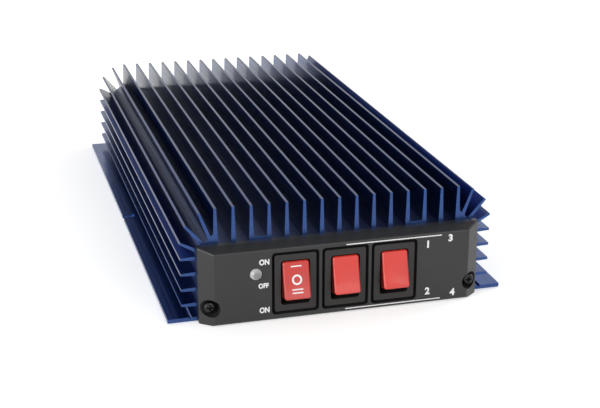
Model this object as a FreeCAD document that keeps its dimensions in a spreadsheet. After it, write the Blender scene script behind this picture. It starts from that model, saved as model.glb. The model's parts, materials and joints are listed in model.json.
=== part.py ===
"""HF linear amplifier for mobile radio, as separate pieces in their working places.

Frame: X runs along the front panel, Y from the front panel to the rear panel, Z up.
Origin: middle of the base plate's underside. Sizes are in millimetres and degrees.
"""
import FreeCAD, Part
import math
import os
import re
import Sketcher

Vector = FreeCAD.Vector
Rotation = FreeCAD.Rotation

# Driving dimensions. Each one is written once, here, and every feature is bound to it.
SIZES = {
    # finned housing: an extruded channel, open side down
    "body_length": 295.0,
    "core_width": 140.5,         # 170 over the flanges
    "side_wall": 3.5,
    "top_wall": 4.8,
    "overall_height": 56.0,
    "fin_count": 15,
    "fin_edge_inset": 9.35,      # middle of the outer top fins, in from the core's side
    "fin_tip": 1.3,
    "fin_root": 2.4,
    "fin_embed": 0.6,            # how far each fin's profile runs into the core
    "side_fin_count": 4,
    "side_fin_first": 8.5,       # middle of the lowest side fin, above the ground
    "side_fin_pitch": 7.83,
    "side_fin_reach": 7.85,      # tips of the side fins, out from the core's side
    "side_fin_tip": 1.2,
    "side_fin_root": 2.0,
    "tip_corner_radius": 17.2,   # the tips of the corner fins lie on this arc
    "fan_inset": 10.85,          # point that the corner fins radiate from, in from the core's side
    "fan_drop": 8.2,             # and down from the core's top
    "fan_angle_low": 28.5,
    "fan_angle_mid": 49.0,
    "fan_angle_high": 69.0,
    "shoulder_low_angle": 22.8,  # the core's flat side starts at this angle about the fan point
    "shoulder_radius": 11.6,     # core's rounded shoulder, about the fan point
    "web_radius": 13.7,          # web between the steepest corner fin and the outer top fin
    "raised_floor": 1.9,         # two grooves have a floor this much higher
    "bead_width": 9.25,          # screw bead along each lower inside corner
    "bead_height": 11.2,
    "bead_chamfer": 3.0,
    "ceiling_fillet": 2.0,
    "rail_depth": 2.0,           # pairs of rails along the side walls hold the board's edges
    "rail_thickness": 1.4,
    "port_inset": 4.75,          # screw port in the bead, in from the core's side
    "port_height": 8.7,          # and above the ground
    # base plate
    "flange_reach": 14.75,       # flange's edge, out from the core's side
    "base_thickness": 2.0,
    "notch_width": 4.4,
    "notch_depth": 7.0,
    "flange_groove_inset": 11.0,
    "flange_groove_depth": 0.8,
    "base_screw_rows": 2,
    "base_screw_spacing": 250.0,
    # M3 screws: shank, tapped hole and clearance hole
    "screw_radius": 1.45,
    "thread_radius": 1.5,
    "clearance_radius": 1.7,
    "csk_head_radius": 2.8,
    "csk_clearance": 0.1,
    "pan_head_radius": 2.8,
    "pan_head_height": 2.0,
    "base_screw_length": 6.0,
    "panel_screw_length": 14.0,
    "transistor_screw_length": 6.0,
    "transistor_screw_flats": 5.5,
    "hole_runout": 0.5,          # a hole or slot is this much deeper than what goes into it
    "overrun": 1.0,              # a cutter runs this much past the face it starts from
    # moulded end panels
    "panel_side_proud": 0.15,    # the panel stands out past the core by this, each side
    "panel_top_proud": 0.4,
    "panel_skirt": 3.5,
    "panel_bevel": 5.5,
    "face_inset": 6.75,          # the face is this much narrower than the skirt, each side
    "face_drop": 2.1,
    "panel_edge_radius": 1.2,
    "bevel_overrun": 1.2,        # the bevels' cutters run this much past the face
    "face_wall": 4.5,
    "thin_wall": 2.5,
    "rim_wall": 3.6,
    "floor_wall": 2.5,
    "boss_width": 12.4,
    "boss_height": 15.0,
    "counterbore_radius": 4.4,
    "counterbore_depth": 4.5,
    "tongue_width": 10.0,
    "tongue_thickness": 2.0,
    "tongue_length": 6.0,
    "tongue_inset": 13.4,
    "tongue_clearance": 0.3,
    # rocker switches
    "switch_count": 3,
    "switch_middle_x": 0.5,
    "switch_rib": 1.4,           # between one switch's recess and the next
    "switch_floor_gap": 3.05,    # switch body above the base plate
    "switch_headroom": 1.45,     # and below the housing's ceiling
    "recess_depth": 2.2,
    "recess_radius": 1.8,
    "bezel_gap": 1.45,
    "bezel_thickness": 2.0,
    "bezel_side_lip": 0.85,
    "bezel_end_lip": 0.95,
    "body_side_wall": 2.2,
    "body_end_wall": 2.1,
    "body_clearance": 0.2,
    "switch_depth": 19.0,
    "latch_width": 8.0,
    "latch_rise": 0.9,
    "latch_length": 4.5,
    "latch_clearance": 0.1,
    "rocker_width": 13.0,
    "rocker_half_height": 9.3,
    "rocker_fold_depth": 7.1,    # fold of the rocker's dished face, out from the pivot
    "rocker_face_angle": 3.2,    # each half of the face leans out by this much
    "rocker_fold_radius": 120.0,
    "rocker_corner_radius": 1.3,
    "rocker_rim_bevel": 0.6,
    "rocker_skirt_depth": 0.5,
    "rocker_hub_depth": 2.4,
    "rocker_hub_half": 2.2,
    "rocker_draft": 0.3,
    "rocker_tilt": 16.0,         # each way from the middle
    "rocker_side_gap": 0.7,
    "rocker_end_gap": 0.3,
    "well_radius": 1.5,
    "pivot_depth": 4.3,          # pivot axis, in from the bezel's face
    "cavity_floor": 3.2,         # floor of the rocker's well, in from the pivot axis
    "pivot_radius": 1.5,
    "pivot_clearance": 0.05,
    "pivot_reach": 1.6,
    "pivot_end_clearance": 0.2,
    "blade_width": 4.8,
    "blade_thickness": 0.8,
    "blade_length": 8.0,
    "blade_seat": 3.0,
    "blade_clearance": 0.05,
    "blade_column": 5.0,
    "blade_row": 8.5,
    # indicator
    "led_spacing": 19.4,         # lamp to the middle of the first switch
    "led_height": 24.5,
    "led_radius": 2.95,
    "led_clearance": 0.1,
    "led_reach": 2.2,            # tip of the dome, out from the panel's face
    "led_flange_radius": 3.5,
    "led_flange_thickness": 1.0,
    "led_lead_size": 0.5,
    "led_lead_length": 14.0,
    "led_lead_pitch": 1.27,
    "led_pocket_width": 10.0,
    "led_pocket_height": 10.8,
    # rear connections
    "antenna_inset": 32.25,      # antenna socket, in from the core's side
    "radio_x": 4.0,
    "socket_height": 18.5,
    "socket_hex_wall": 1.6,          # nut and shoulder, outside the thread at their flats
    "socket_shoulder": 3.0,
    "socket_nut_height": 3.0,
    "socket_nut_clearance": 0.05,
    "socket_thread_end": 0.8,        # thread that shows past the nut, inside the panel
    "socket_barrel_radius": 7.9,     # 5/8 inch thread, at its crest
    "socket_reach": 14.5,            # barrel's length outside the panel
    "socket_wall": 2.1,
    "socket_recess": 2.0,
    "socket_clearance": 0.1,
    "insulator_tail": 2.0,
    "insulator_clearance": 0.05,
    "contact_radius": 2.8,
    "contact_bore_radius": 2.0,
    "contact_bore_depth": 12.0,
    "contact_tail": 6.0,
    "gland_inset": 30.25,
    "gland_height": 16.0,
    "gland_neck_radius": 6.4,
    "gland_collar_radius": 8.4,
    "gland_collar_thickness": 2.5,
    "gland_bore_radius": 4.0,
    "gland_clearance": 0.1,
    # circuit board and what it carries
    "board_length": 238.0,
    "board_shift": 2.0,
    "board_thickness": 1.6,
    "board_drop": 4.0,           # top of the board, down from the ceiling
    "board_clearance": 0.1,
    "board_side_clearance": 0.3,
    "transistor_count": 2,
    "transistor_gap": 9.2,
    "transistor_y": 10.0,
    "transistor_ear": 3.2,       # middle of a screw hole to the flange's end
    "transistor_flange_width": 6.4,
    "transistor_flange_thickness": 3.0,
    "transistor_screw_gap": 0.25,
    "transistor_cap_radius": 6.2,
    "transistor_height": 7.0,
    "transistor_lead_width": 5.6,
    "transistor_lead_overlap": 6.3,
    "transistor_lead_thickness": 0.2,
    "window_end_margin": 0.6,
    "window_side_margin": 0.5,
    "output_transformer_y": 55.0,
    "output_sleeve_radius": 7.0,
    "output_sleeve_length": 32.0,
    "input_transformer_y": -35.0,
    "input_core_width": 19.6,
    "input_core_length": 16.0,
    "input_core_height": 10.4,
    "input_tube_radius": 1.8,
    "input_tube_pitch": 9.2,
    "input_tube_proud": 1.2,     # the tubes stand this much out of the core, at each end
    "sleeve_wall": 3.0,
    "sleeve_gap": 0.6,
    "tube_clearance": 0.2,
    "end_plate_thickness": 1.6,
    "end_plate_margin": 1.0,
    "relay_x": 26.0,
    "relay_y": -88.0,
    "relay_length": 29.0,
    "relay_width": 12.6,
    "relay_height": 15.5,
    "capacitor_count": 2,
    "capacitor_pitch": 14.0,
    "capacitor_y": -68.0,
    "capacitor_radius": 5.0,
    "capacitor_height": 12.5,
    "choke_x": -34.0,
    "choke_y": 55.0,
    "choke_radius": 9.0,
    "choke_bore_radius": 4.6,
    "choke_thickness": 7.0,
    "mica_count": 8,
    "mica_pitch": 13.0,
    "mica_y": 30.0,
    "mica_length": 9.0,
    "mica_width": 4.0,
    "mica_height": 7.0,
    "fuse_count": 2,
    "fuse_pitch": 12.0,
    "fuse_x": -38.0,
    "fuse_y": 112.0,
    "fuse_length": 19.0,
    "fuse_width": 5.0,
    "fuse_height": 10.0,
    "prong_width": 5.0,
    "prong_height": 6.0,
    "prong_pitch": 12.6,
    "holder_length": 22.0,
    "holder_width": 8.0,
    "holder_height": 8.0,
    "prong_clearance": 0.05,
}

# Lengths worked out from the driving dimensions, as formula cells of a second sheet.
PLACES = {
    "core_half": "core_width / 2",
    "fin_half": "core_half + side_fin_reach",
    "fin_pitch": "2 * (core_half - fin_edge_inset) / (fin_count - 1)",
    "flange_width": "core_width + 2 * flange_reach",
    "panel_width": "core_width + 2 * panel_side_proud",
    "panel_height": "core_top + panel_top_proud",
    "inner_half": "core_half - side_wall",
    "rocker_end_depth": "rocker_fold_depth + rocker_half_height * tan(rocker_face_angle * 1 deg)",
    "rocker_sweep": "rocker_half_height * cos(rocker_tilt * 1 deg) + "
                    "rocker_end_depth * sin(rocker_tilt * 1 deg)",
    "opening_height": "2 * (rocker_sweep + rocker_end_gap)",
    "body_height": "opening_height + 2 * body_end_wall",
    "switch_height": "base_thickness + switch_floor_gap + body_height / 2",
    "ceiling": "switch_height + body_height / 2 + switch_headroom",
    "core_top": "ceiling + top_wall",    # floor of the grooves between the top fins
    "bead_half": "core_half - bead_width",
    "bead_top": "base_thickness + bead_height",
    "port_x": "core_half - port_inset",
    "fin_first_x": "fin_edge_inset - core_half",
    "fan_x": "core_half - fan_inset",
    "fan_z": "core_top - fan_drop",
    "tip_centre_x": "fin_half - tip_corner_radius",
    "tip_centre_z": "overall_height - tip_corner_radius",
    "front_end": "-body_length / 2",
    "panel_depth": "panel_skirt + panel_bevel",
    "face_y": "front_end - panel_depth",
    "face_top": "panel_height - face_drop",
    "wall_back_y": "face_y + face_wall",
    "thin_back_y": "face_y + thin_wall",
    "recess_floor_y": "face_y + recess_depth",
    "bezel_face_y": "recess_floor_y - bezel_thickness",
    "pivot_y": "bezel_face_y + pivot_depth",
    "switch_back_y": "recess_floor_y + switch_depth",
    "opening_width": "rocker_width + 2 * rocker_side_gap",
    "pivot_length": "rocker_width + 2 * pivot_reach",
    "body_width": "opening_width + 2 * body_side_wall",
    "cutout_width": "body_width + 2 * body_clearance",
    "cutout_height": "body_height + 2 * body_clearance",
    "bezel_width": "body_width + 2 * bezel_side_lip",
    "bezel_height": "body_height + 2 * bezel_end_lip",
    "bezel_radius": "recess_radius - bezel_gap / 2",
    "recess_width": "bezel_width + 2 * bezel_gap",
    "recess_height": "bezel_height + 2 * bezel_gap",
    "switch_pitch": "recess_width + switch_rib",
    "switch_first_x": "switch_middle_x - switch_pitch * (switch_count - 1) / 2",
    "led_x": "switch_first_x - led_spacing",
    "antenna_x": "core_half - antenna_inset",
    "gland_x": "gland_inset - core_half",
    "rear_face_y": "-face_y",
    "rear_wall_y": "-wall_back_y",
    "csk_radius": "csk_head_radius + 2 * csk_clearance",
    "board_top": "ceiling - board_drop",
    "board_under": "board_top - board_thickness",
    "rail_half": "inner_half - rail_depth",
    "slot_low": "board_under - board_clearance",
    "slot_high": "board_top + board_clearance",
    "transistor_seat": "ceiling - transistor_flange_thickness",
    "transistor_hole_spacing": "2 * (transistor_cap_radius + transistor_screw_gap) + "
                               "transistor_screw_flats",
    "transistor_flange_length": "transistor_hole_spacing + 2 * transistor_ear",
    "transistor_pitch": "transistor_flange_length + transistor_gap",
    "window_length": "transistor_flange_length + 2 * window_end_margin",
    "window_width": "2 * (transistor_cap_radius + window_side_margin)",
    "transistor_lead_reach": "window_width / 2 + transistor_lead_overlap",
    "socket_across_flats": "2 * (socket_barrel_radius + socket_hex_wall)",
    "socket_bore_radius": "socket_barrel_radius - socket_wall",
    "socket_nut_y": "rear_wall_y - socket_nut_height",
    "socket_back_y": "socket_nut_y - socket_thread_end",
    "socket_front_y": "rear_face_y + socket_reach",
    "pan_head_base_y": "face_y + counterbore_depth",
}

NAME = re.compile(r"[a-z][a-z_]*[a-z]")

doc = FreeCAD.newDocument("linear_amplifier")
nodes = []


def formula(text):
    """Expression in which each named size or place is read from its sheet."""
    def cell(match):
        word = match.group()
        if word in SIZES:
            return "Sizes." + word
        if word in PLACES:
            return "Places." + word
        return word
    return NAME.sub(cell, str(text))


def make_sheets():
    """Sheet of driving dimensions, and sheet of places worked out from them."""
    sizes = doc.addObject("Spreadsheet::Sheet", "Sizes")
    places = doc.addObject("Spreadsheet::Sheet", "Places")
    for row, (alias, value) in enumerate(SIZES.items(), start=1):
        sizes.set(f"A{row}", alias)
        sizes.set(f"B{row}", str(value))
        sizes.setAlias(f"B{row}", alias)
    doc.recompute()
    for row, (alias, text) in enumerate(PLACES.items(), start=1):
        places.set(f"A{row}", alias)
        places.setAlias(f"B{row}", alias)
    for row, text in enumerate(PLACES.values(), start=1):
        places.set(f"B{row}", "=" + formula(text).replace("Places.", ""))
    doc.recompute()


def value(name):
    """Present value of a named size or place, for first guesses and for picking edges."""
    sheet = "Sizes" if name in SIZES else "Places"
    return float(getattr(doc.getObject(sheet), name))


def bind(item, **expressions):
    """Bind properties to formulas; two underscores stand for a dot in the property's path."""
    for path, text in expressions.items():
        item.setExpression(path.replace("__", "."), formula(text))


def node(item, label):
    """Name a finished piece and keep it for writing."""
    item.Label = label
    nodes.append(item)
    return item


# ---------------------------------------------------------------- primitives

def block(name, low, size):
    """Box from its low corner and its size, both triples of formulas."""
    item = doc.addObject("Part::Box", name)
    bind(item, Length=size[0], Width=size[1], Height=size[2], Placement__Base__x=low[0],
         Placement__Base__y=low[1], Placement__Base__z=low[2])
    return item


TURNS = {
    "+z": Rotation(),
    "-z": Rotation(Vector(1, 0, 0), 180),
    "+y": Rotation(Vector(1, 0, 0), -90),
    "-y": Rotation(Vector(1, 0, 0), 90),
}


def rod(name, foot, way, radius, length):
    """Cylinder that starts at foot and runs the given way."""
    item = doc.addObject("Part::Cylinder", name)
    item.Placement = FreeCAD.Placement(Vector(), TURNS[way])
    bind(item, Radius=radius, Height=length, Placement__Base__x=foot[0],
         Placement__Base__y=foot[1], Placement__Base__z=foot[2])
    return item


def taper(name, foot, way, foot_radius, end_radius, length):
    """Cone that starts at foot and runs the given way."""
    item = doc.addObject("Part::Cone", name)
    item.Placement = FreeCAD.Placement(Vector(), TURNS[way])
    bind(item, Radius1=foot_radius, Radius2=end_radius, Height=length, Placement__Base__x=foot[0],
         Placement__Base__y=foot[1], Placement__Base__z=foot[2])
    return item


def half_ball(name, centre, way, radius):
    """Half of a ball, on the side of its centre that the way points to."""
    item = doc.addObject("Part::Sphere", name)
    item.Angle1 = 0
    item.Placement = FreeCAD.Placement(Vector(), TURNS[way])
    bind(item, Radius=radius, Placement__Base__x=centre[0], Placement__Base__y=centre[1],
         Placement__Base__z=centre[2])
    return item


FLAT_TO_X = 30


def hexagon(name, foot, way, across_flats, height, turn=0):
    """Hexagonal prism that starts at foot and runs the given way; a corner faces X unless turned."""
    item = doc.addObject("Part::Prism", name)
    item.Polygon = 6
    item.Placement = FreeCAD.Placement(Vector(), TURNS[way] * Rotation(Vector(0, 0, 1), turn))
    bind(item, Circumradius=f"{across_flats} / sqrt(3)", Height=height,
         Placement__Base__x=foot[0], Placement__Base__y=foot[1], Placement__Base__z=foot[2])
    return item


def join(name, parts):
    """One solid from parts that meet."""
    item = doc.addObject("Part::MultiFuse", name)
    item.Shapes = parts
    return item


def cut(name, base, tool):
    """Base with the tool taken away."""
    item = doc.addObject("Part::Cut", name)
    item.Base = base
    item.Tool = tool
    return item


def group(name, parts):
    """Separate solids that share one node."""
    item = doc.addObject("Part::Compound", name)
    item.Links = parts
    return item


# ---------------------------------------------------------------- bodies and sketches

PLANES = {
    # axis across the plane: role of the plane, and the side that its normal points to
    "x": ("YZ_Plane", 1),
    "y": ("XZ_Plane", -1),
    "z": ("XY_Plane", 1),
}


def new_body(name):
    return doc.addObject("PartDesign::Body", name)


def new_sketch(body, name, axis, level="0", origin=("0", "0")):
    """Sketch square to an axis of the body, at a level along it, about an origin of its own."""
    role, side = PLANES[axis]
    plane = next(item for item in body.Origin.OriginFeatures if item.Role == role)
    sketch = body.newObject("Sketcher::SketchObject", name)
    sketch.AttachmentSupport = [(plane, "")]
    sketch.MapMode = "FlatFace"
    bind(sketch, AttachmentOffset__Base__x=origin[0], AttachmentOffset__Base__y=origin[1],
         AttachmentOffset__Base__z=f"{side} * ({level})")
    return sketch


def fix_point(sketch, geometry, position, point, first_guess):
    """Hold a point of the sketch at formulas measured from the sketch's origin."""
    for kind, text, guess in (("DistanceX", point[0], first_guess.x),
                              ("DistanceY", point[1], first_guess.y)):
        index = sketch.addConstraint(Sketcher.Constraint(kind, -1, 1, geometry, position, guess))
        sketch.setExpression(f"Constraints[{index}]", formula(text))


def add_outline(sketch, points):
    """Closed outline of straight edges through points, each a pair of formulas."""
    count = len(points)
    first = sketch.GeometryCount
    ring = [Vector(math.cos(math.tau * i / count), math.sin(math.tau * i / count))
            for i in range(count)]
    for i in range(count):
        sketch.addGeometry(Part.LineSegment(ring[i], ring[(i + 1) % count]))
    for i in range(count):
        following = first + (i + 1) % count
        sketch.addConstraint(Sketcher.Constraint("Coincident", first + i, 2, following, 1))
    for i, point in enumerate(points):
        fix_point(sketch, first + i, 1, point, ring[i])


def add_rectangle(sketch, low, high):
    add_outline(sketch, [low, (high[0], low[1]), high, (low[0], high[1])])


def add_centred_rectangle(sketch, centre, width, height):
    add_rectangle(sketch, (f"{centre[0]} - ({width}) / 2", f"{centre[1]} - ({height}) / 2"),
                  (f"{centre[0]} + ({width}) / 2", f"{centre[1]} + ({height}) / 2"))


def add_circle(sketch, centre, radius):
    index = sketch.addGeometry(Part.Circle(Vector(), Vector(0, 0, 1), 1))
    fix_point(sketch, index, 3, centre, Vector())
    size = sketch.addConstraint(Sketcher.Constraint("Radius", index, 1.0))
    sketch.setExpression(f"Constraints[{size}]", formula(radius))


def add_rounded_rectangle(sketch, width, height, radius):
    """Rectangle about the sketch's origin, with arcs at its corners; the sizes are cell names."""
    half = Vector(value(width) / 2, value(height) / 2)
    bend = value(radius)
    first = sketch.GeometryCount
    ends = []
    for i, (sx, sz) in enumerate(((1, 1), (-1, 1), (-1, -1), (1, -1))):
        centre = Vector(sx * (half.x - bend), sz * (half.y - bend))
        start = math.pi / 2 * i
        sketch.addGeometry(Part.ArcOfCircle(Part.Circle(centre, Vector(0, 0, 1), bend),
                                            start, start + math.pi / 2))
        on_side = (Vector(sx * half.x, centre.y),
                   (f"{sx} * {width} / 2", f"{sz} * ({height} / 2 - {radius})"))
        on_top = (Vector(centre.x, sz * half.y),
                  (f"{sx} * ({width} / 2 - {radius})", f"{sz} * {height} / 2"))
        pair = [on_side, on_top] if sx == sz else [on_top, on_side]
        for position, (guess, point) in enumerate(pair, start=1):
            fix_point(sketch, first + i, position, point, guess)
        size = sketch.addConstraint(Sketcher.Constraint("Radius", first + i, bend))
        sketch.setExpression(f"Constraints[{size}]", formula(radius))
        ends.append([guess for guess, point in pair])
    for i in range(4):
        following = (i + 1) % 4
        line = sketch.addGeometry(Part.LineSegment(ends[i][1], ends[following][0]))
        sketch.addConstraint(Sketcher.Constraint("Coincident", line, 1, first + i, 2))
        sketch.addConstraint(Sketcher.Constraint("Coincident", line, 2, first + following, 1))


def plane_side(sketch):
    """Side of the axis that the sketch's normal points to."""
    role = sketch.AttachmentSupport[0][0].Role
    return next(side for name, side in PLANES.values() if name == role)


def pad(body, sketch, length, way=1):
    """Pad towards +axis (way 1) or -axis (way -1), or both ways at once (way 0)."""
    item = body.newObject("PartDesign::Pad", sketch.Name + "_pad")
    item.Profile = sketch
    item.SideType = "Symmetric" if way == 0 else "One side"
    item.Reversed = way == -plane_side(sketch)
    bind(item, Length=length)
    doc.recompute()
    return item


def pocket(body, sketch, length, way=1):
    """Pocket towards +axis, -axis or both ways; it has to take something away."""
    before = body.Shape.Volume
    item = body.newObject("PartDesign::Pocket", sketch.Name + "_pocket")
    item.Profile = sketch
    item.SideType = "Symmetric" if way == 0 else "One side"
    item.Reversed = way == plane_side(sketch)
    if length == "through":
        item.Type = "ThroughAll"
    else:
        bind(item, Length=length)
    doc.recompute()
    if body.Shape.Volume >= before:
        raise RuntimeError(f"{item.Name} takes nothing away from {body.Name}")
    return item


def repeat(body, feature, axis, pitch, count):
    """Linear pattern of one feature along an axis of the body."""
    role = {"x": "X_Axis", "y": "Y_Axis", "z": "Z_Axis"}[axis]
    line = next(item for item in body.Origin.OriginFeatures if item.Role == role)
    item = body.newObject("PartDesign::LinearPattern", feature.Name + "_row")
    item.Originals = [feature]
    item.Direction = (line, [""])
    item.Mode = "Spacing"
    bind(item, Offset=pitch, Occurrences=count)
    body.Tip = item
    doc.recompute()
    return item


def round_edges(body, feature, name, radius, chosen):
    """Fillet on the edges of the feature that the test chooses."""
    return _dress(body, feature, "PartDesign::Fillet", name, "Radius", radius, chosen)


def bevel_edges(body, feature, name, size, chosen):
    """Chamfer on the edges of the feature that the test chooses."""
    return _dress(body, feature, "PartDesign::Chamfer", name, "Size", size, chosen)


def _dress(body, feature, kind, name, prop, size, chosen):
    edges = [f"Edge{i}" for i, edge in enumerate(feature.Shape.Edges, start=1) if chosen(edge)]
    if not edges:
        raise RuntimeError(f"{name} finds no edge")
    item = body.newObject(kind, name)
    item.Base = (feature, edges)
    bind(item, **{prop: size})
    doc.recompute()
    return item


def flat_at(axis, level, tolerance=0.01):
    """Test for edges that lie wholly at one level of an axis."""
    def chosen(edge):
        box = edge.BoundBox
        low, high = {"x": (box.XMin, box.XMax), "y": (box.YMin, box.YMax),
                     "z": (box.ZMin, box.ZMax)}[axis]
        return abs(low - level) < tolerance and abs(high - level) < tolerance
    return chosen


def runs_along(edge, axis):
    """True for a straight edge parallel to an axis."""
    if edge.Degenerated or not isinstance(edge.Curve, Part.Line):
        return False
    return abs(abs(edge.Curve.Direction.dot(axis)) - 1) < 1e-6


def turned(name, foot, way, profile):
    """Turned piece: profile is pairs of radius and distance along the axis."""
    body = new_body(name)
    sketch = new_sketch(body, name + "_profile", "y")
    add_outline(sketch, profile)
    item = body.newObject("PartDesign::Revolution", name + "_turn")
    item.Profile = sketch
    item.ReferenceAxis = (sketch, ["V_Axis"])
    item.Angle = 360
    body.Placement = FreeCAD.Placement(Vector(), TURNS[way])
    bind(body, Placement__Base__x=foot[0], Placement__Base__y=foot[1], Placement__Base__z=foot[2])
    doc.recompute()
    return body


# ---------------------------------------------------------------- finned housing

def mirrored(points):
    """Right half of an outline followed by its mirror image."""
    return points + [(f"-({x})", z) for x, z in reversed(points)]


def fan_point(radius, angle):
    """Point at a radius and angle about the corner fins' common point."""
    return (f"fan_x + ({radius}) * cos(({angle}) * 1 deg)",
            f"fan_z + ({radius}) * sin(({angle}) * 1 deg)")


def core_outline():
    """Section of the inverted channel, with its shoulders and screw beads."""
    return mirrored([
        ("fin_first_x * -1", "core_top"),
        ("fin_first_x * -1", f"fan_z + web_radius * sin((fan_angle_high + 90) / 2 * 1 deg)"),
        fan_point("web_radius", "(fan_angle_high + 90) / 2"),
        fan_point("shoulder_radius", "(fan_angle_mid + fan_angle_high) / 2"),
        fan_point("shoulder_radius", "(fan_angle_low + fan_angle_mid) / 2"),
        ("core_half", "fan_z + (core_half - fan_x) * tan(shoulder_low_angle * 1 deg)"),
        ("core_half", "base_thickness"),
        ("bead_half", "base_thickness"),
        ("bead_half", "bead_top - bead_chamfer"),
        ("bead_half + bead_chamfer", "bead_top"),
        ("inner_half", "bead_top"),
        ("inner_half", "slot_low - rail_thickness"),
        ("rail_half", "slot_low - rail_thickness"),
        ("rail_half", "slot_low"),
        ("inner_half", "slot_low"),
        ("inner_half", "slot_high"),
        ("rail_half", "slot_high"),
        ("rail_half", "slot_high + rail_thickness"),
        ("inner_half", "slot_high + rail_thickness"),
        ("inner_half", "ceiling"),
    ])


def corner_fin(angle):
    """Section of one fin that radiates from the corner out to the arc of the tips."""
    reach_x = "(tip_centre_x - fan_x)"
    reach_z = "(tip_centre_z - fan_z)"
    along = f"({reach_x} * cos({angle} * 1 deg) + {reach_z} * sin({angle} * 1 deg))"
    square = f"({reach_x} * {reach_x} + {reach_z} * {reach_z})"
    length = f"({along} + sqrt(tip_corner_radius * tip_corner_radius - {square} + {along} * {along}))"
    corners = []
    for radius, half in (("shoulder_radius / 2", "side_fin_root / 2"),
                         (length, "side_fin_tip / 2"),
                         (length, "-side_fin_tip / 2"),
                         ("shoulder_radius / 2", "-side_fin_root / 2")):
        x, z = fan_point(radius, angle)
        corners.append((f"{x} - {half} * sin({angle} * 1 deg)",
                        f"{z} + {half} * cos({angle} * 1 deg)"))
    return corners


def heatsink_body():
    body = new_body("housing")
    core = new_sketch(body, "core", "y")
    add_outline(core, core_outline())
    core_pad = pad(body, core, "body_length", 0)
    upright = Vector(0, 1, 0)
    inner, top = value("inner_half"), value("ceiling")
    round_edges(body, core_pad, "ceiling_rounds", "ceiling_fillet",
                lambda edge: runs_along(edge, upright) and abs(edge.BoundBox.ZMax - top) < 0.01
                and abs(abs(edge.BoundBox.XMax) - inner) < 0.01)

    top_fin = new_sketch(body, "top_fin", "y")
    add_outline(top_fin, [("fin_first_x - fin_root / 2", "core_top - fin_embed"),
                          ("fin_first_x + fin_root / 2", "core_top - fin_embed"),
                          ("fin_first_x + fin_tip / 2", "overall_height"),
                          ("fin_first_x - fin_tip / 2", "overall_height")])
    repeat(body, pad(body, top_fin, "body_length", 0), "x", "fin_pitch", "fin_count")

    side_fins = new_sketch(body, "side_fins", "y")
    for side in ("", "-"):
        add_outline(side_fins, [
            (f"{side}(core_half - fin_embed)", "side_fin_first - side_fin_root / 2"),
            (f"{side}(fin_half)", "side_fin_first - side_fin_tip / 2"),
            (f"{side}(fin_half)", "side_fin_first + side_fin_tip / 2"),
            (f"{side}(core_half - fin_embed)", "side_fin_first + side_fin_root / 2")])
    repeat(body, pad(body, side_fins, "body_length", 0), "z", "side_fin_pitch", "side_fin_count")

    for name in ("low", "mid", "high"):
        fan = new_sketch(body, f"corner_fins_{name}", "y")
        fin = corner_fin(f"fan_angle_{name}")
        add_outline(fan, fin)
        add_outline(fan, [(f"-({x})", z) for x, z in fin])
        pad(body, fan, "body_length", 0)

    floors = new_sketch(body, "raised_floors", "y")
    for side in ("", "-"):
        add_rectangle(floors, (f"{side}(fin_first_x + 2 * fin_pitch)", "core_top - fin_embed"),
                      (f"{side}(fin_first_x + 3 * fin_pitch)", "core_top + raised_floor"))
    pad(body, floors, "body_length", 0)

    ports = new_sketch(body, "screw_ports", "y")
    for side in ("", "-"):
        add_circle(ports, (f"{side}port_x", "port_height"), "thread_radius")
    pocket(body, ports, "through", 0)

    feet = new_sketch(body, "base_screw_holes", "z", "base_thickness")
    for x, y in base_screw_places():
        add_circle(feet, (x, y), "thread_radius")
    pocket(body, feet, "base_screw_length - base_thickness + hole_runout", 1)

    taps = new_sketch(body, "ceiling_holes", "z", "ceiling")
    for x, y in transistor_screw_places():
        add_circle(taps, (x, y), "thread_radius")
    pocket(body, taps, "transistor_screw_length - transistor_flange_thickness + hole_runout", 1)
    return node(body, "heatsink_body")


# ---------------------------------------------------------------- base plate

def base_screw_places():
    rows = SIZES["base_screw_rows"]
    return [(f"{side}port_x", f"base_screw_spacing * ({row} - (base_screw_rows - 1) / 2)")
            for side in ("-", "") for row in range(rows)]


def base_plate():
    body = new_body("base")
    plate = new_sketch(body, "plate", "z")
    add_rectangle(plate, ("-flange_width / 2", "-body_length / 2"),
                  ("flange_width / 2", "body_length / 2"))
    pad(body, plate, "base_thickness", 1)

    ends = new_sketch(body, "notch_ends", "z")
    slots = new_sketch(body, "notch_slots", "z")
    inner = "(flange_width / 2 - notch_depth + notch_width / 2)"
    for side in ("", "-"):
        add_circle(ends, (f"{side}{inner}", "0"), "notch_width / 2")
        add_rectangle(slots, (f"{side}{inner}", "-notch_width / 2"),
                      (f"{side}(flange_width / 2 + 1)", "notch_width / 2"))
    pocket(body, ends, "base_thickness", 1)
    pocket(body, slots, "base_thickness", 1)

    grooves = new_sketch(body, "guide_grooves", "y")
    middle = "(flange_width / 2 - flange_groove_inset)"
    for side in ("", "-"):
        add_outline(grooves, [
            (f"{side}{middle} - flange_groove_depth", "base_thickness"),
            (f"{side}{middle}", "base_thickness - flange_groove_depth"),
            (f"{side}{middle} + flange_groove_depth", "base_thickness")])
    pocket(body, grooves, "through", 0)

    holes = new_sketch(body, "base_screw_holes_in_plate", "z")
    for x, y in base_screw_places():
        add_circle(holes, (x, y), "clearance_radius")
    holed = pocket(body, holes, "base_thickness", 1)
    radius = SIZES["clearance_radius"]
    bevel_edges(body, holed, "countersinks", "csk_radius - clearance_radius",
                lambda edge: flat_at("z", 0)(edge) and isinstance(edge.Curve, Part.Circle)
                and abs(edge.Curve.Radius - radius) < 1e-6)
    return node(body, "base_plate")


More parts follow.
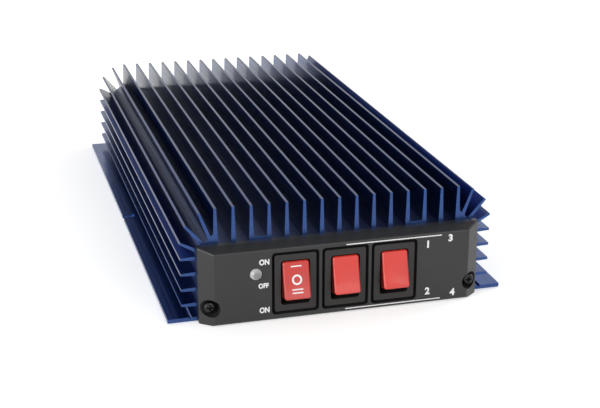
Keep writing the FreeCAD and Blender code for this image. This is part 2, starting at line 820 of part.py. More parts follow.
def base_screws():
    screws = []
    for i, (x, y) in enumerate(base_screw_places(), start=1):
        head = taper(f"base_screw_{i}_head", (x, y, "csk_clearance"), "+z", "csk_head_radius",
                     "screw_radius", "csk_head_radius - screw_radius")
        shank = rod(f"base_screw_{i}_shank", (x, y, "csk_clearance"), "+z", "screw_radius",
                    "base_screw_length - csk_clearance")
        screws.append(join(f"base_screw_{i}", [head, shank]))
    return node(group("base_screw_set", screws), "base_screws")


# ---------------------------------------------------------------- end panels

def panel_shell(name):
    """Moulded end cap: straight skirt, bevelled rim, hollow back with two screw bosses."""
    body = new_body(name)
    plate = new_sketch(body, name + "_plate", "y", "front_end")
    add_rectangle(plate, ("-panel_width / 2", "0"), ("panel_width / 2", "panel_height"))
    pad(body, plate, "panel_depth", -1)

    skirt_y = "front_end - panel_skirt"
    past_face = f"({skirt_y} - bevel_overrun * panel_bevel)"
    sides = new_sketch(body, name + "_side_bevels", "z")
    for side in ("", "-"):
        add_outline(sides, [
            (f"{side}(panel_width / 2)", skirt_y),
            (f"{side}(panel_width / 2 - bevel_overrun * face_inset)", past_face),
            (f"{side}(panel_width / 2 + 1)", past_face),
            (f"{side}(panel_width / 2 + 1)", skirt_y)])
    pocket(body, sides, "through", 1)
    top = new_sketch(body, name + "_top_bevel", "x")
    add_outline(top, [(skirt_y, "panel_height"),
                      (past_face, "panel_height - bevel_overrun * face_drop"),
                      (past_face, "panel_height + 1"),
                      (skirt_y, "panel_height + 1")])
    bevelled = pocket(body, top, "through", 0)

    face = value("face_y")
    skirt = value("front_end") - value("panel_skirt")
    def soft_edge(edge):
        """Edges of the face, and the two creases between the top and side bevels."""
        box = edge.BoundBox
        crease = abs(box.YMin - face) < 0.01 and abs(box.YMax - skirt) < 0.01
        return flat_at("y", face)(edge) or (crease and box.ZMin > value("face_top") - 0.01)
    round_edges(body, bevelled, name + "_edges", "panel_edge_radius", soft_edge)

    hollow = new_sketch(body, name + "_hollow", "y", "front_end")
    add_outline(hollow, mirrored([
        ("panel_width / 2 - boss_width", "floor_wall"),
        ("panel_width / 2 - boss_width", "boss_height"),
        ("panel_width / 2 - rim_wall", "boss_height"),
        ("panel_width / 2 - rim_wall", "panel_height - rim_wall")]))
    pocket(body, hollow, "panel_depth - face_wall", -1)

    screw_holes = new_sketch(body, name + "_screw_holes", "y", "front_end")
    wells = new_sketch(body, name + "_screw_wells", "y", "pan_head_base_y")
    for side in ("", "-"):
        add_circle(screw_holes, (f"{side}port_x", "port_height"), "clearance_radius")
        add_circle(wells, (f"{side}port_x", "port_height"), "counterbore_radius")
    pocket(body, screw_holes, "through", -1)
    pocket(body, wells, "counterbore_depth", -1)

    tongues = new_sketch(body, name + "_tongues", "z", "ceiling - tongue_clearance")
    for side in ("", "-"):
        middle = f"{side}(panel_width / 2 - tongue_inset)"
        add_rectangle(tongues, (f"{middle} - tongue_width / 2", "wall_back_y"),
                      (f"{middle} + tongue_width / 2", "front_end + tongue_length"))
    pad(body, tongues, "tongue_thickness", -1)
    return body


def panel_screws(label, way):
    """The two pan-head screws of one end panel; way is where their tips point."""
    sign = {"+y": "", "-y": "-"}[way]
    screws = []
    for i, side in enumerate(("-", ""), start=1):
        foot = (f"{side}port_x", f"{sign}pan_head_base_y", "port_height")
        back = {"+y": "-y", "-y": "+y"}[way]
        shank = rod(f"{label}_{i}_shank", foot, way, "screw_radius", "panel_screw_length")
        head = rod(f"{label}_{i}_head", foot, back, "pan_head_radius", "pan_head_height")
        screws.append(join(f"{label}_{i}", [shank, head]))
    return node(group(label + "_set", screws), label)


def switch_x(index):
    return f"(switch_first_x + {index} * switch_pitch)"


def front_panel():
    body = panel_shell("front_cap")
    recess = new_sketch(body, "switch_recess", "y", "face_y", (switch_x(0), "switch_height"))
    add_rounded_rectangle(recess, "recess_width", "recess_height", "recess_radius")
    repeat(body, pocket(body, recess, "recess_depth", 1), "x", "switch_pitch", "switch_count")
    opening = new_sketch(body, "switch_cutout", "y", "face_y")
    add_centred_rectangle(opening, (switch_x(0), "switch_height"), "cutout_width", "cutout_height")
    repeat(body, pocket(body, opening, "face_wall", 1), "x", "switch_pitch", "switch_count")

    thin = new_sketch(body, "led_pocket", "y", "wall_back_y")
    add_centred_rectangle(thin, ("led_x", "led_height"), "led_pocket_width",
                          "led_pocket_height")
    pocket(body, thin, "face_wall - thin_wall", -1)
    hole = new_sketch(body, "led_hole", "y", "face_y")
    add_circle(hole, ("led_x", "led_height"), "led_radius + led_clearance")
    pocket(body, hole, "thin_wall", 1)
    return node(body, "front_panel")


def rear_panel():
    """Same moulding as the front, turned about; X is mirrored inside this body."""
    body = panel_shell("rear_cap")
    bores = new_sketch(body, "socket_bores", "y", "face_y")
    for x in ("-antenna_x", "-radio_x"):
        add_circle(bores, (x, "socket_height"), "socket_barrel_radius + socket_clearance")
    add_circle(bores, ("-gland_x", "gland_height"), "gland_neck_radius + gland_clearance")
    pocket(body, bores, "face_wall", 1)
    body.Placement = FreeCAD.Placement(Vector(), Rotation(Vector(0, 0, 1), 180))
    doc.recompute()
    return node(body, "rear_panel")


# ---------------------------------------------------------------- rocker switches

def switch_housing(index, label):
    """Bezel, body, rocker well, pivot bearings, terminal slots and two snap latches."""
    x = switch_x(index)
    body = new_body(label + "_body")
    rim = new_sketch(body, label + "_bezel", "y", "recess_floor_y", (x, "switch_height"))
    add_rounded_rectangle(rim, "bezel_width", "bezel_height", "bezel_radius")
    pad(body, rim, "bezel_thickness", -1)

    trunk = new_sketch(body, label + "_trunk", "y", "recess_floor_y")
    add_centred_rectangle(trunk, (x, "switch_height"), "body_width", "body_height")
    pad(body, trunk, "switch_depth", 1)

    latch = new_sketch(body, label + "_latches", "x", x)
    start = "wall_back_y + latch_clearance"
    for side in ("+", "-"):
        edge = f"switch_height {side} body_height / 2"
        add_outline(latch, [(start, f"switch_height {side} body_height / 4"),
                            (start, f"{edge} {side} latch_rise"),
                            (f"{start} + latch_length", edge),
                            (f"{start} + latch_length", f"switch_height {side} body_height / 4")])
    pad(body, latch, "latch_width", 0)

    well = new_sketch(body, label + "_well", "y", "bezel_face_y", (x, "switch_height"))
    add_rounded_rectangle(well, "opening_width", "opening_height", "well_radius")
    pocket(body, well, "pivot_depth + cavity_floor", 1)

    bearing = new_sketch(body, label + "_bearings", "x", x)
    add_circle(bearing, ("pivot_y", "switch_height"), "pivot_radius + pivot_clearance")
    pocket(body, bearing, "pivot_length + 2 * pivot_end_clearance", 0)

    slots = new_sketch(body, label + "_blade_slots", "y", "switch_back_y")
    for bx, bz in blade_places(x):
        add_centred_rectangle(slots, (bx, bz), "blade_width + 2 * blade_clearance",
                              "blade_thickness + 2 * blade_clearance")
    pocket(body, slots, "blade_seat", -1)
    return node(body, label + "_housing")


def blade_places(x):
    return [(f"{x} + {column} * blade_column", f"switch_height + {row} * blade_row")
            for column in (-1, 1) for row in (-1, 0, 1)]


def switch_terminals(index, label):
    blades = []
    for i, (x, z) in enumerate(blade_places(switch_x(index)), start=1):
        low = (f"{x} - blade_width / 2", "switch_back_y - blade_seat", f"{z} - blade_thickness / 2")
        size = ("blade_width", "blade_seat + blade_length", "blade_thickness")
        blades.append(block(f"{label}_blade_{i}", low, size))
    return node(group(label + "_blades", blades), label + "_terminals")


def rocker(index, label):
    """Dished rocker, drawn about its pivot in mid travel and set with its top pressed in."""
    body = new_body(label + "_rocker_body")
    side = new_sketch(body, label + "_rocker_side", "x")
    upper = [("-rocker_end_depth", "rocker_half_height"),
             ("-rocker_skirt_depth", "rocker_half_height - rocker_draft"),
             ("rocker_hub_depth", "rocker_hub_half")]
    lower = [(y, f"-({z})") for y, z in reversed(upper)]
    add_outline(side, [("-rocker_fold_depth", "0")] + upper + lower)
    solid = pad(body, side, "rocker_width", 0)

    across = Vector(1, 0, 0)
    fold = -SIZES["rocker_fold_depth"]
    neck = SIZES["rocker_half_height"] - SIZES["rocker_draft"]
    folded = round_edges(body, solid, label + "_rocker_fold", "rocker_fold_radius",
                         lambda edge: runs_along(edge, across)
                         and abs(edge.BoundBox.YMin - fold) < 0.01)
    nosed = round_edges(body, folded, label + "_rocker_corners", "rocker_corner_radius",
                        lambda edge: edge.BoundBox.XLength < 0.01
                        and min(abs(edge.BoundBox.ZMin), abs(edge.BoundBox.ZMax)) > neck - 0.01)
    bevel_edges(body, nosed, label + "_rocker_rim", "rocker_rim_bevel",
                lambda edge: edge.BoundBox.YMax < fold + 0.01
                and (not runs_along(edge, across) or abs(edge.BoundBox.ZMin) > neck))

    pins = new_sketch(body, label + "_rocker_pins", "x")
    add_circle(pins, ("0", "0"), "pivot_radius")
    pad(body, pins, "pivot_length", 0)

    body.Placement = FreeCAD.Placement(Vector(), Rotation(Vector(-1, 0, 0), SIZES["rocker_tilt"]))
    bind(body, Placement__Base__x=switch_x(index), Placement__Base__y="pivot_y",
         Placement__Base__z="switch_height", Placement__Rotation__Angle="rocker_tilt")
    doc.recompute()
    return node(body, label + "_rocker")


# ---------------------------------------------------------------- indicator

def led():
    """Domed lens pushed through the panel from behind, and its three leads."""
    reach = "(thin_wall + led_reach - led_radius)"
    back = ("led_x", "thin_back_y", "led_height")
    flange = rod("led_flange", back, "+y", "led_flange_radius", "led_flange_thickness")
    barrel = rod("led_barrel", back, "-y", "led_radius", reach)
    dome = half_ball("led_dome", (back[0], f"{back[1]} - {reach}", back[2]), "-y", "led_radius")
    node(join("led_solid", [flange, barrel, dome]), "led_lens")
    leads = []
    for i in (-1, 0, 1):
        low = (f"led_x + {i} * led_lead_pitch - led_lead_size / 2",
               "thin_back_y + led_flange_thickness", "led_height - led_lead_size / 2")
        leads.append(block(f"led_lead_{i + 2}", low,
                           ("led_lead_size", "led_lead_length", "led_lead_size")))
    return node(group("led_lead_set", leads), "led_leads")


# ---------------------------------------------------------------- rear connections

def coax_socket(label, x):
    """Single-hole coaxial socket: shell, insulator, contact and, inside the panel, its nut."""
    back = (x, "socket_back_y", "socket_height")
    length = "(socket_front_y - socket_back_y)"
    shoulder = hexagon(label + "_shoulder", (x, "rear_face_y", "socket_height"), "+y",
                       "socket_across_flats", "socket_shoulder")
    barrel = rod(label + "_barrel", back, "+y", "socket_barrel_radius", length)
    bore = rod(label + "_bore", (x, "socket_back_y - overrun", "socket_height"), "+y",
               "socket_bore_radius", f"{length} + 2 * overrun")
    node(cut(label + "_metal", join(label + "_solid", [shoulder, barrel]), bore), label + "_shell")

    tail = (x, "socket_back_y - insulator_tail", "socket_height")
    depth = f"({length} + insulator_tail - socket_recess)"
    sleeve = rod(label + "_sleeve", tail, "+y", "socket_bore_radius - insulator_clearance", depth)
    hole = rod(label + "_sleeve_hole",
               (x, "socket_back_y - insulator_tail - overrun", "socket_height"),
               "+y", "contact_radius + insulator_clearance", f"{depth} + 2 * overrun")
    node(cut(label + "_dielectric", sleeve, hole), label + "_insulator")

    end = (x, "socket_back_y - insulator_tail - contact_tail", "socket_height")
    reach = f"({depth} + contact_tail)"
    pin = rod(label + "_pin", end, "+y", "contact_radius", reach)
    pin_bore = rod(label + "_pin_bore",
                   (x, "socket_front_y - socket_recess - contact_bore_depth", "socket_height"),
                   "+y", "contact_bore_radius", "contact_bore_depth + overrun")
    node(cut(label + "_centre", pin, pin_bore), label + "_contact")

    nut = hexagon(label + "_nut_prism", (x, "socket_nut_y", "socket_height"), "+y",
                  "socket_across_flats", "socket_nut_height")
    thread = rod(label + "_nut_thread", (x, "socket_nut_y - overrun", "socket_height"), "+y",
                 "socket_barrel_radius + socket_nut_clearance", "socket_nut_height + 2 * overrun")
    return node(cut(label + "_nut_ring", nut, thread), label + "_nut")


def cable_gland():
    """Rubber grommet that grips the rear wall between two collars."""
    body = turned("gland", ("gland_x", "rear_wall_y", "gland_height"), "+y", [
        ("gland_bore_radius", "-gland_collar_thickness"),
        ("gland_collar_radius", "-gland_collar_thickness"),
        ("gland_collar_radius", "0"),
        ("gland_neck_radius", "0"),
        ("gland_neck_radius", "face_wall"),
        ("gland_collar_radius", "face_wall"),
        ("gland_collar_radius", "face_wall + gland_collar_thickness"),
        ("gland_bore_radius", "face_wall + gland_collar_thickness")])
    return node(body, "cable_gland")


# ---------------------------------------------------------------- circuit board

def spread_out(count, pitch, index):
    """Place of one of several equal pieces in a centred row."""
    return f"({pitch} * ({index} - ({count} - 1) / 2))"


def transistor_x(index):
    return spread_out("transistor_count", "transistor_pitch", index)


def transistor_screw_places():
    return [(f"{transistor_x(i)} + {side} * transistor_hole_spacing / 2", "transistor_y")
            for i in range(SIZES["transistor_count"]) for side in (-1, 1)]


def circuit_board():
    """Board whose edges lie between the rails, with a window for each transistor."""
    body = new_body("board")
    plate = new_sketch(body, "board_outline", "z", "board_under")
    add_centred_rectangle(plate, ("0", "board_shift"), "2 * (inner_half - board_side_clearance)",
                          "board_length")
    pad(body, plate, "board_thickness", 1)
    windows = new_sketch(body, "board_windows", "z", "board_under")
    for i in range(SIZES["transistor_count"]):
        add_centred_rectangle(windows, (transistor_x(i), "transistor_y"), "window_length",
                              "window_width")
    pocket(body, windows, "board_thickness", 1)
    return node(body, "circuit_board")


def power_transistors():
    """Flange-mounted transistors against the ceiling, their leads on the board."""
    parts = []
    for i in range(SIZES["transistor_count"]):
        x = transistor_x(i)
        flange = block(f"transistor_{i}_flange",
                       (f"{x} - transistor_flange_length / 2",
                        "transistor_y - transistor_flange_width / 2", "transistor_seat"),
                       ("transistor_flange_length", "transistor_flange_width",
                        "transistor_flange_thickness"))
        cap = rod(f"transistor_{i}_cap", (x, "transistor_y", "transistor_seat"), "-z",
                  "transistor_cap_radius", "transistor_height - transistor_flange_thickness")
        lead = block(f"transistor_{i}_lead",
                     (f"{x} - transistor_lead_width / 2", "transistor_y - transistor_lead_reach",
                      "board_top"),
                     ("transistor_lead_width", "2 * transistor_lead_reach",
                      "transistor_lead_thickness"))
        holes = [rod(f"transistor_{i}_hole_{k}", (f"{x} + {side} * transistor_hole_spacing / 2",
                                                  "transistor_y", "transistor_seat - overrun"),
                     "+z", "clearance_radius", "transistor_flange_thickness + 2 * overrun")
                 for k, side in enumerate((-1, 1), start=1)]
        solid = join(f"transistor_{i}_solid", [flange, cap, lead])
        parts.append(cut(f"transistor_{i}", solid, join(f"transistor_{i}_holes", holes)))
    return node(group("transistor_set", parts), "power_transistors")


def transistor_screws():
    """Hexagon-head screws that clamp the transistors to the ceiling."""
    screws = []
    for i, (x, y) in enumerate(transistor_screw_places(), start=1):
        seat = (x, y, "transistor_seat")
        head = hexagon(f"transistor_screw_{i}_head", seat, "-z", "transistor_screw_flats",
                       "pan_head_height", FLAT_TO_X)
        shank = rod(f"transistor_screw_{i}_shank", seat, "+z", "screw_radius",
                    "transistor_screw_length")
        screws.append(join(f"transistor_screw_{i}", [head, shank]))
    return node(group("transistor_screw_set", screws), "transistor_screws")


def output_transformer():
    """Two ferrite sleeves on metal tubes, held between two end plates under the board."""
    y = "output_transformer_y"
    length = "output_sleeve_length"
    spread = "(output_sleeve_radius + sleeve_gap / 2)"
    centre_z = "(board_under - output_sleeve_radius - end_plate_margin)"
    bore_radius = "(output_sleeve_radius - sleeve_wall)"
    sleeves = []
    tubes = []
    for i, side in enumerate((-1, 1), start=1):
        foot = (f"{side} * {spread}", f"{y} - {length} / 2", centre_z)
        before = (foot[0], foot[1] + " - overrun", centre_z)
        sleeve = rod(f"output_sleeve_{i}_blank", foot, "+y", "output_sleeve_radius", length)
        bore = rod(f"output_sleeve_{i}_bore", before, "+y", bore_radius, f"{length} + 2 * overrun")
        sleeves.append(cut(f"output_sleeve_{i}", sleeve, bore))
        tubes.append(rod(f"output_tube_{i}", foot, "+y", f"{bore_radius} - tube_clearance", length))
    plates = []
    for i, start in enumerate((f"{y} - {length} / 2 - end_plate_thickness",
                               f"{y} + {length} / 2"), start=1):
        plates.append(block(f"output_plate_{i}",
                            (f"-2 * {spread} - end_plate_margin", start,
                             f"{centre_z} - output_sleeve_radius - end_plate_margin"),
                            (f"4 * {spread} + 2 * end_plate_margin", "end_plate_thickness",
                             "2 * (output_sleeve_radius + end_plate_margin)")))
    node(group("output_sleeve_set", sleeves), "output_transformer_cores")
    node(group("output_tube_set", tubes), "output_transformer_tubes")
    return node(group("output_plate_set", plates), "output_transformer_end_plates")


def input_transformer():
    """Twin-bore ferrite block with a metal tube through each bore."""
    blank = block("input_core_blank",
                  ("-input_core_width / 2", "input_transformer_y - input_core_length / 2",
                   "board_under - input_core_height"),
                  ("input_core_width", "input_core_length", "input_core_height"))
    bores = []
    tubes = []
    for i, side in enumerate((-1, 1), start=1):
        foot = (f"{side} * input_tube_pitch / 2",
                "input_transformer_y - input_core_length / 2 - input_tube_proud",
                "board_under - input_core_height / 2")
        length = "input_core_length + 2 * input_tube_proud"
        bores.append(rod(f"input_bore_{i}", foot, "+y", "input_tube_radius + tube_clearance",
                         length))
        tubes.append(rod(f"input_tube_{i}", foot, "+y", "input_tube_radius", length))
    node(cut("input_core", blank, join("input_bores", bores)), "input_transformer_core")
    return node(group("input_tube_set", tubes), "input_transformer_tubes")


def relays():
    cases = []
    for i, side in enumerate((-1, 1), start=1):
        low = (f"{side} * relay_x - relay_length / 2", "relay_y - relay_width / 2",
               "board_under - relay_height")
        cases.append(block(f"relay_{i}", low, ("relay_length", "relay_width", "relay_height")))
    return node(group("relay_set", cases), "relays")


def electrolytic_capacitors():
    cans = []
    for i in range(SIZES["capacitor_count"]):
        x = spread_out("capacitor_count", "capacitor_pitch", i)
        cans.append(rod(f"capacitor_{i}", (x, "capacitor_y", "board_under"), "-z",
                        "capacitor_radius", "capacitor_height"))
    return node(group("capacitor_set", cans), "electrolytic_capacitors")


def supply_choke():
    """Ring core that lies flat under the board."""
    ring = rod("choke_ring", ("choke_x", "choke_y", "board_under"), "-z", "choke_radius",
               "choke_thickness")
    bore = rod("choke_bore", ("choke_x", "choke_y", "board_under + overrun"), "-z",
               "choke_bore_radius", "choke_thickness + 2 * overrun")
    return node(cut("choke", ring, bore), "supply_choke")


def mica_capacitors():
    slabs = []
    for i in range(SIZES["mica_count"]):
        x = spread_out("mica_count", "mica_pitch", i)
        low = (f"{x} - mica_length / 2", "mica_y - mica_width / 2", "board_under - mica_height")
        slabs.append(block(f"mica_{i}", low, ("mica_length", "mica_width", "mica_height")))
    return node(group("mica_set", slabs), "mica_capacitors")


def fuses():
    """Blade fuses plugged up into their holders under the board."""
    holders = []
    blades = []
    under = "board_under - holder_height"
    for i in range(SIZES["fuse_count"]):
        y = f"(fuse_y - {i} * fuse_pitch)"
        prongs = []
        slots = []
        for k, side in enumerate((-1, 1), start=1):
            x = f"fuse_x + {side} * prong_pitch / 2"
            prongs.append(block(f"fuse_{i}_prong_{k}",
                                (f"{x} - prong_width / 2", f"{y} - blade_thickness / 2", under),
                                ("prong_width", "blade_thickness", "prong_height")))
            slots.append(block(f"holder_{i}_slot_{k}",
                               (f"{x} - prong_width / 2 - prong_clearance",
                                f"{y} - blade_thickness / 2 - prong_clearance",
                                f"{under} - overrun"),
                               ("prong_width + 2 * prong_clearance",
                                "blade_thickness + 2 * prong_clearance",
                                "prong_height + hole_runout + overrun")))
        holder = block(f"holder_{i}_blank",
                       ("fuse_x - holder_length / 2", f"{y} - holder_width / 2", under),
                       ("holder_length", "holder_width", "holder_height"))
        holders.append(cut(f"holder_{i}", holder, join(f"holder_{i}_slots", slots)))
        case = block(f"fuse_{i}_case",
                     ("fuse_x - fuse_length / 2", f"{y} - fuse_width / 2", f"{under} - fuse_height"),
                     ("fuse_length", "fuse_width", "fuse_height"))
        blades.append(join(f"fuse_{i}", [case] + prongs))
    node(group("holder_set", holders), "fuse_holders")
    return node(group("fuse_set", blades), "blade_fuses")


# ---------------------------------------------------------------- build and write

def build():
    make_sheets()
    heatsink_body()
    base_plate()
    base_screws()
    front_panel()
    rear_panel()
    panel_screws("front_panel_screws", "+y")
    panel_screws("rear_panel_screws", "-y")
    for index, label in enumerate(("power", "mode", "level")):
        switch_housing(index, label + "_switch")
        rocker(index, label)
        switch_terminals(index, label + "_switch")
    led()
    coax_socket("antenna_socket", "antenna_x")
    coax_socket("radio_socket", "radio_x")
    cable_gland()
    circuit_board()
    power_transistors()
    transistor_screws()
    output_transformer()
    input_transformer()
    relays()
    electrolytic_capacitors()
    supply_choke()
    mica_capacitors()
    fuses()
    doc.recompute()


def check():
    """Refuse to write anything if a feature failed or a piece isn't a sound solid."""
    for item in doc.Objects:
        if "Invalid" in item.State or "Error" in item.State:
            raise RuntimeError(f"{item.Name} ({item.Label}) failed: {item.State}")
    for item in nodes:
        shape = item.Shape
        if shape.isNull() or not shape.isValid() or not shape.Solids:
            raise RuntimeError(f"{item.Label} isn't a sound solid")


def write():
    os.makedirs("parts", exist_ok=True)
    for item in nodes:
        item.Shape.exportStep(os.path.join("parts", item.Label + ".step"))
        print(f"{item.Label}: {len(item.Shape.Solids)} solid(s), {item.Shape.Volume:.1f} mm3")


build()
check()
write()
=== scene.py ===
"""Looks of the linear amplifier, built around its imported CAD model."""

import json
import math

import bmesh
import bpy
from mathutils import Matrix, Vector
from mathutils.bvhtree import BVHTree


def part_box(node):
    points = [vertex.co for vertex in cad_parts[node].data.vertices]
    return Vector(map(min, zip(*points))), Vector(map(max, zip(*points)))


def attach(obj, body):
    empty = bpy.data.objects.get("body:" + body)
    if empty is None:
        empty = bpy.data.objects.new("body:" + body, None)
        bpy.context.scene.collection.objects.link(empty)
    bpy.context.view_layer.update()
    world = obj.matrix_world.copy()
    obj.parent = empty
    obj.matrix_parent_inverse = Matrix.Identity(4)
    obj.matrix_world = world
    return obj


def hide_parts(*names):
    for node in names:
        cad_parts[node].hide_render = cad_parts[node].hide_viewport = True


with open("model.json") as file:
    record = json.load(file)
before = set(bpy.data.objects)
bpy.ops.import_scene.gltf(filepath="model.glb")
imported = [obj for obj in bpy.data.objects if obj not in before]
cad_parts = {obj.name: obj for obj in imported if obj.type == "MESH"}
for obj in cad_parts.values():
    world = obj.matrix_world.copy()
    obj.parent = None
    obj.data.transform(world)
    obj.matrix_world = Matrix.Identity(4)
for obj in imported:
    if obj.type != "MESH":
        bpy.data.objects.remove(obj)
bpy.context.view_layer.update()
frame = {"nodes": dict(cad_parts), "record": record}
nodes = frame["nodes"]

MM = 0.001
FACE_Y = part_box("front_panel")[0].y      # front face of the front panel, in metres
HEAD_RADIUS = 2.8                        # of every panel and base screw, in mm


def middle(name):
    low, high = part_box(name)
    return (low + high) / 2


def head_middles(low, high):
    """Middles of the two end heads in a row of screws that reaches from low to high."""
    return low + HEAD_RADIUS * MM, high - HEAD_RADIUS * MM


def add_object(name, data):
    item = bpy.data.objects.new(name, data)
    bpy.context.scene.collection.objects.link(item)
    return item


def finished_mesh(item):
    """Mesh of an object with its modifiers, or its outline's thickness, worked in."""
    bpy.context.view_layer.update()
    return bpy.data.meshes.new_from_object(
        item.evaluated_get(bpy.context.evaluated_depsgraph_get()))


# ---------------------------------------------------------------- shader helpers

class Shader:
    """A material under construction: its node tree with short ways to add and join nodes."""

    def __init__(self, name):
        self.material = bpy.data.materials.new(name)
        self.material.use_nodes = True
        self.tree = self.material.node_tree
        self.surface = self.tree.nodes["Principled BSDF"]
        self.output = self.tree.nodes["Material Output"]
        self.place = self.add("ShaderNodeTexCoord").outputs["Object"]

    def add(self, kind, **settings):
        item = self.tree.nodes.new(kind)
        for key, setting in settings.items():
            setattr(item, key, setting)
        return item

    def join(self, start, end):
        self.tree.links.new(start, end)

    def set(self, **inputs):
        """Plain values on the surface's own sockets; underscores stand for spaces."""
        for key, setting in inputs.items():
            self.surface.inputs[key.replace("_", " ")].default_value = setting

    def noise(self, scale, detail=3.0, stretch=(1, 1, 1)):
        """Noise over the object's own space; scale is in cells per metre."""
        mapping = self.add("ShaderNodeMapping")
        mapping.inputs["Scale"].default_value = stretch
        self.join(self.place, mapping.inputs["Vector"])
        item = self.add("ShaderNodeTexNoise")
        item.inputs["Scale"].default_value = scale
        item.inputs["Detail"].default_value = detail
        self.join(mapping.outputs["Vector"], item.inputs["Vector"])
        return item.outputs["Fac"]

    def spread(self, source, low, high, start=0.3, end=0.7):
        """The source's stretch from start to end carried onto the range low to high."""
        item = self.add("ShaderNodeMapRange")
        item.inputs["From Min"].default_value = start
        item.inputs["From Max"].default_value = end
        item.inputs["To Min"].default_value = low
        item.inputs["To Max"].default_value = high
        self.join(source, item.inputs["Value"])
        return item.outputs["Result"]

    def uneven(self, source, rough, less=0.06, more=0.08):
        """Roughness that strays a little to either side of rough."""
        return self.spread(source, rough - less, rough + more)

    def blend(self, factor, first, second):
        """Colour from first to second; each is a colour or another node's output."""
        item = self.add("ShaderNodeMix", data_type="RGBA")
        sockets = [socket for socket in item.inputs if socket.type == "RGBA"]
        for socket, colour in zip(sockets, (first, second)):
            if isinstance(colour, bpy.types.NodeSocket):
                self.join(colour, socket)
            else:
                socket.default_value = (*colour, 1)
        self.join(factor, item.inputs["Factor"])
        return next(socket for socket in item.outputs if socket.type == "RGBA")

    def maths(self, operation, first, second=0.0):
        """One operation on two numbers, each plain or another node's output."""
        item = self.add("ShaderNodeMath", operation=operation)
        for socket, source in zip(item.inputs, (first, second)):
            if isinstance(source, bpy.types.NodeSocket):
                self.join(source, socket)
            else:
                socket.default_value = source
        return item.outputs["Value"]

    def split(self, source):
        """The parts X, Y and Z of a vector."""
        item = self.add("ShaderNodeSeparateXYZ")
        self.join(source, item.inputs["Vector"])
        return item.outputs

    def normal(self, axis):
        """One part of the surface's direction in the world; a rocker's X part stays as it turns."""
        return self.split(self.add("ShaderNodeNewGeometry").outputs["Normal"])[axis]

    def facing(self, axis, limit=0.9):
        """1 where the surface faces along an axis, either way, and 0 elsewhere."""
        return self.maths("GREATER_THAN", self.maths("ABSOLUTE", self.normal(axis)), limit)

    def inside(self, low, high):
        """1 inside a box given by its corners in metres, and 0 outside."""
        mask = 1.0
        for place, start, end in zip(self.split(self.place), low, high):
            mask = self.maths("MULTIPLY", mask, self.maths("GREATER_THAN", place, start))
            mask = self.maths("MULTIPLY", mask, self.maths("LESS_THAN", place, end))
        return mask

    def from_axis(self, place):
        """Distance in metres from an axis along Y, which goes through a place."""
        shift = self.add("ShaderNodeVectorMath", operation="SUBTRACT")
        self.join(self.place, shift.inputs[0])
        shift.inputs[1].default_value = place
        flat = self.add("ShaderNodeVectorMath", operation="MULTIPLY")
        self.join(shift.outputs["Vector"], flat.inputs[0])
        flat.inputs[1].default_value = (1, 0, 1)
        reach = self.add("ShaderNodeVectorMath", operation="LENGTH")
        self.join(flat.outputs["Vector"], reach.inputs[0])
        return reach.outputs["Value"]

    def colour(self, source):
        self.join(source, self.surface.inputs["Base Color"])

    def roughness(self, source):
        self.join(source, self.surface.inputs["Roughness"])

    def bump(self, source, height_mm, strength):
        """Relief of the given height over the whole surface."""
        item = self.add("ShaderNodeBump")
        item.inputs["Distance"].default_value = height_mm * MM
        item.inputs["Strength"].default_value = strength
        self.join(source, item.inputs["Height"])
        self.join(item.outputs["Normal"], self.surface.inputs["Normal"])


def scaled(colour, share):
    return [part * share for part in colour]


# ---------------------------------------------------------------- kinds of material

EDGE_TINT = (0.90, 0.86, 0.64, 1.0)      # keeps the glancing reflection grey, not blue
SHADED_TOPS_FROM = 37.5 * MM                    # height above which faces that look up are painted darker, as shade
LOOKS_UP = 0.3                           # least upward part of such a face's direction
SHADE_TONE = 0.15                       # share of its colour that moulding keeps under painted shade
WELL_RADIUS = 4.45 * MM                  # of the wells that the panel screws lie in, which are painted in shade
LENS_LIGHT_RIM = (1.3 * MM, 2.6 * MM)          # radii between which painted light makes the lens paler


def anodised_extrusion(name, sides, shaded_tips, ends):
    """Dyed aluminium: draw lines along Y on the drawn faces, saw marks on the cut ends, and painted
    shade, a darker colour, on the upward faces of the upper fins and of the channels' floors."""
    shader = Shader(name)
    cloud = shader.noise(22.0, detail=4.0)
    streak = shader.noise(900.0, stretch=(1, 0.012, 1))
    saw = shader.noise(700.0, detail=4.0, stretch=(0.15, 1, 1.6))
    # painted shade: faces that look up, above a height, take the darker colour
    high = shader.maths("GREATER_THAN", shader.split(shader.place)["Z"], SHADED_TOPS_FROM)
    upward = shader.maths("GREATER_THAN", shader.normal("Z"), LOOKS_UP)
    drawn = shader.blend(shader.maths("MULTIPLY", high, upward), sides, shaded_tips)
    drawn = shader.blend(shader.spread(cloud, 0, 0.25), drawn, scaled(sides, 0.6))
    drawn = shader.blend(shader.spread(streak, 0, 0.3), drawn, scaled(shaded_tips, 0.8))
    cut = shader.facing("Y")
    cut_colour = shader.blend(shader.spread(saw, 0, 1), ends, scaled(ends, 0.82))
    shader.colour(shader.blend(cut, drawn, cut_colour))
    relief = shader.add("ShaderNodeMix", data_type="FLOAT")
    shader.join(cut, relief.inputs["Factor"])
    shader.join(streak, relief.inputs["A"])
    shader.join(saw, relief.inputs["B"])
    shader.bump(relief.outputs["Result"], height_mm=0.012, strength=0.5)
    shader.roughness(shader.spread(streak, 0.27, 0.38))
    shader.set(Metallic=1.0, Specular_Tint=EDGE_TINT, Coat_Weight=0.37, Coat_Roughness=0.1)
    return shader.material


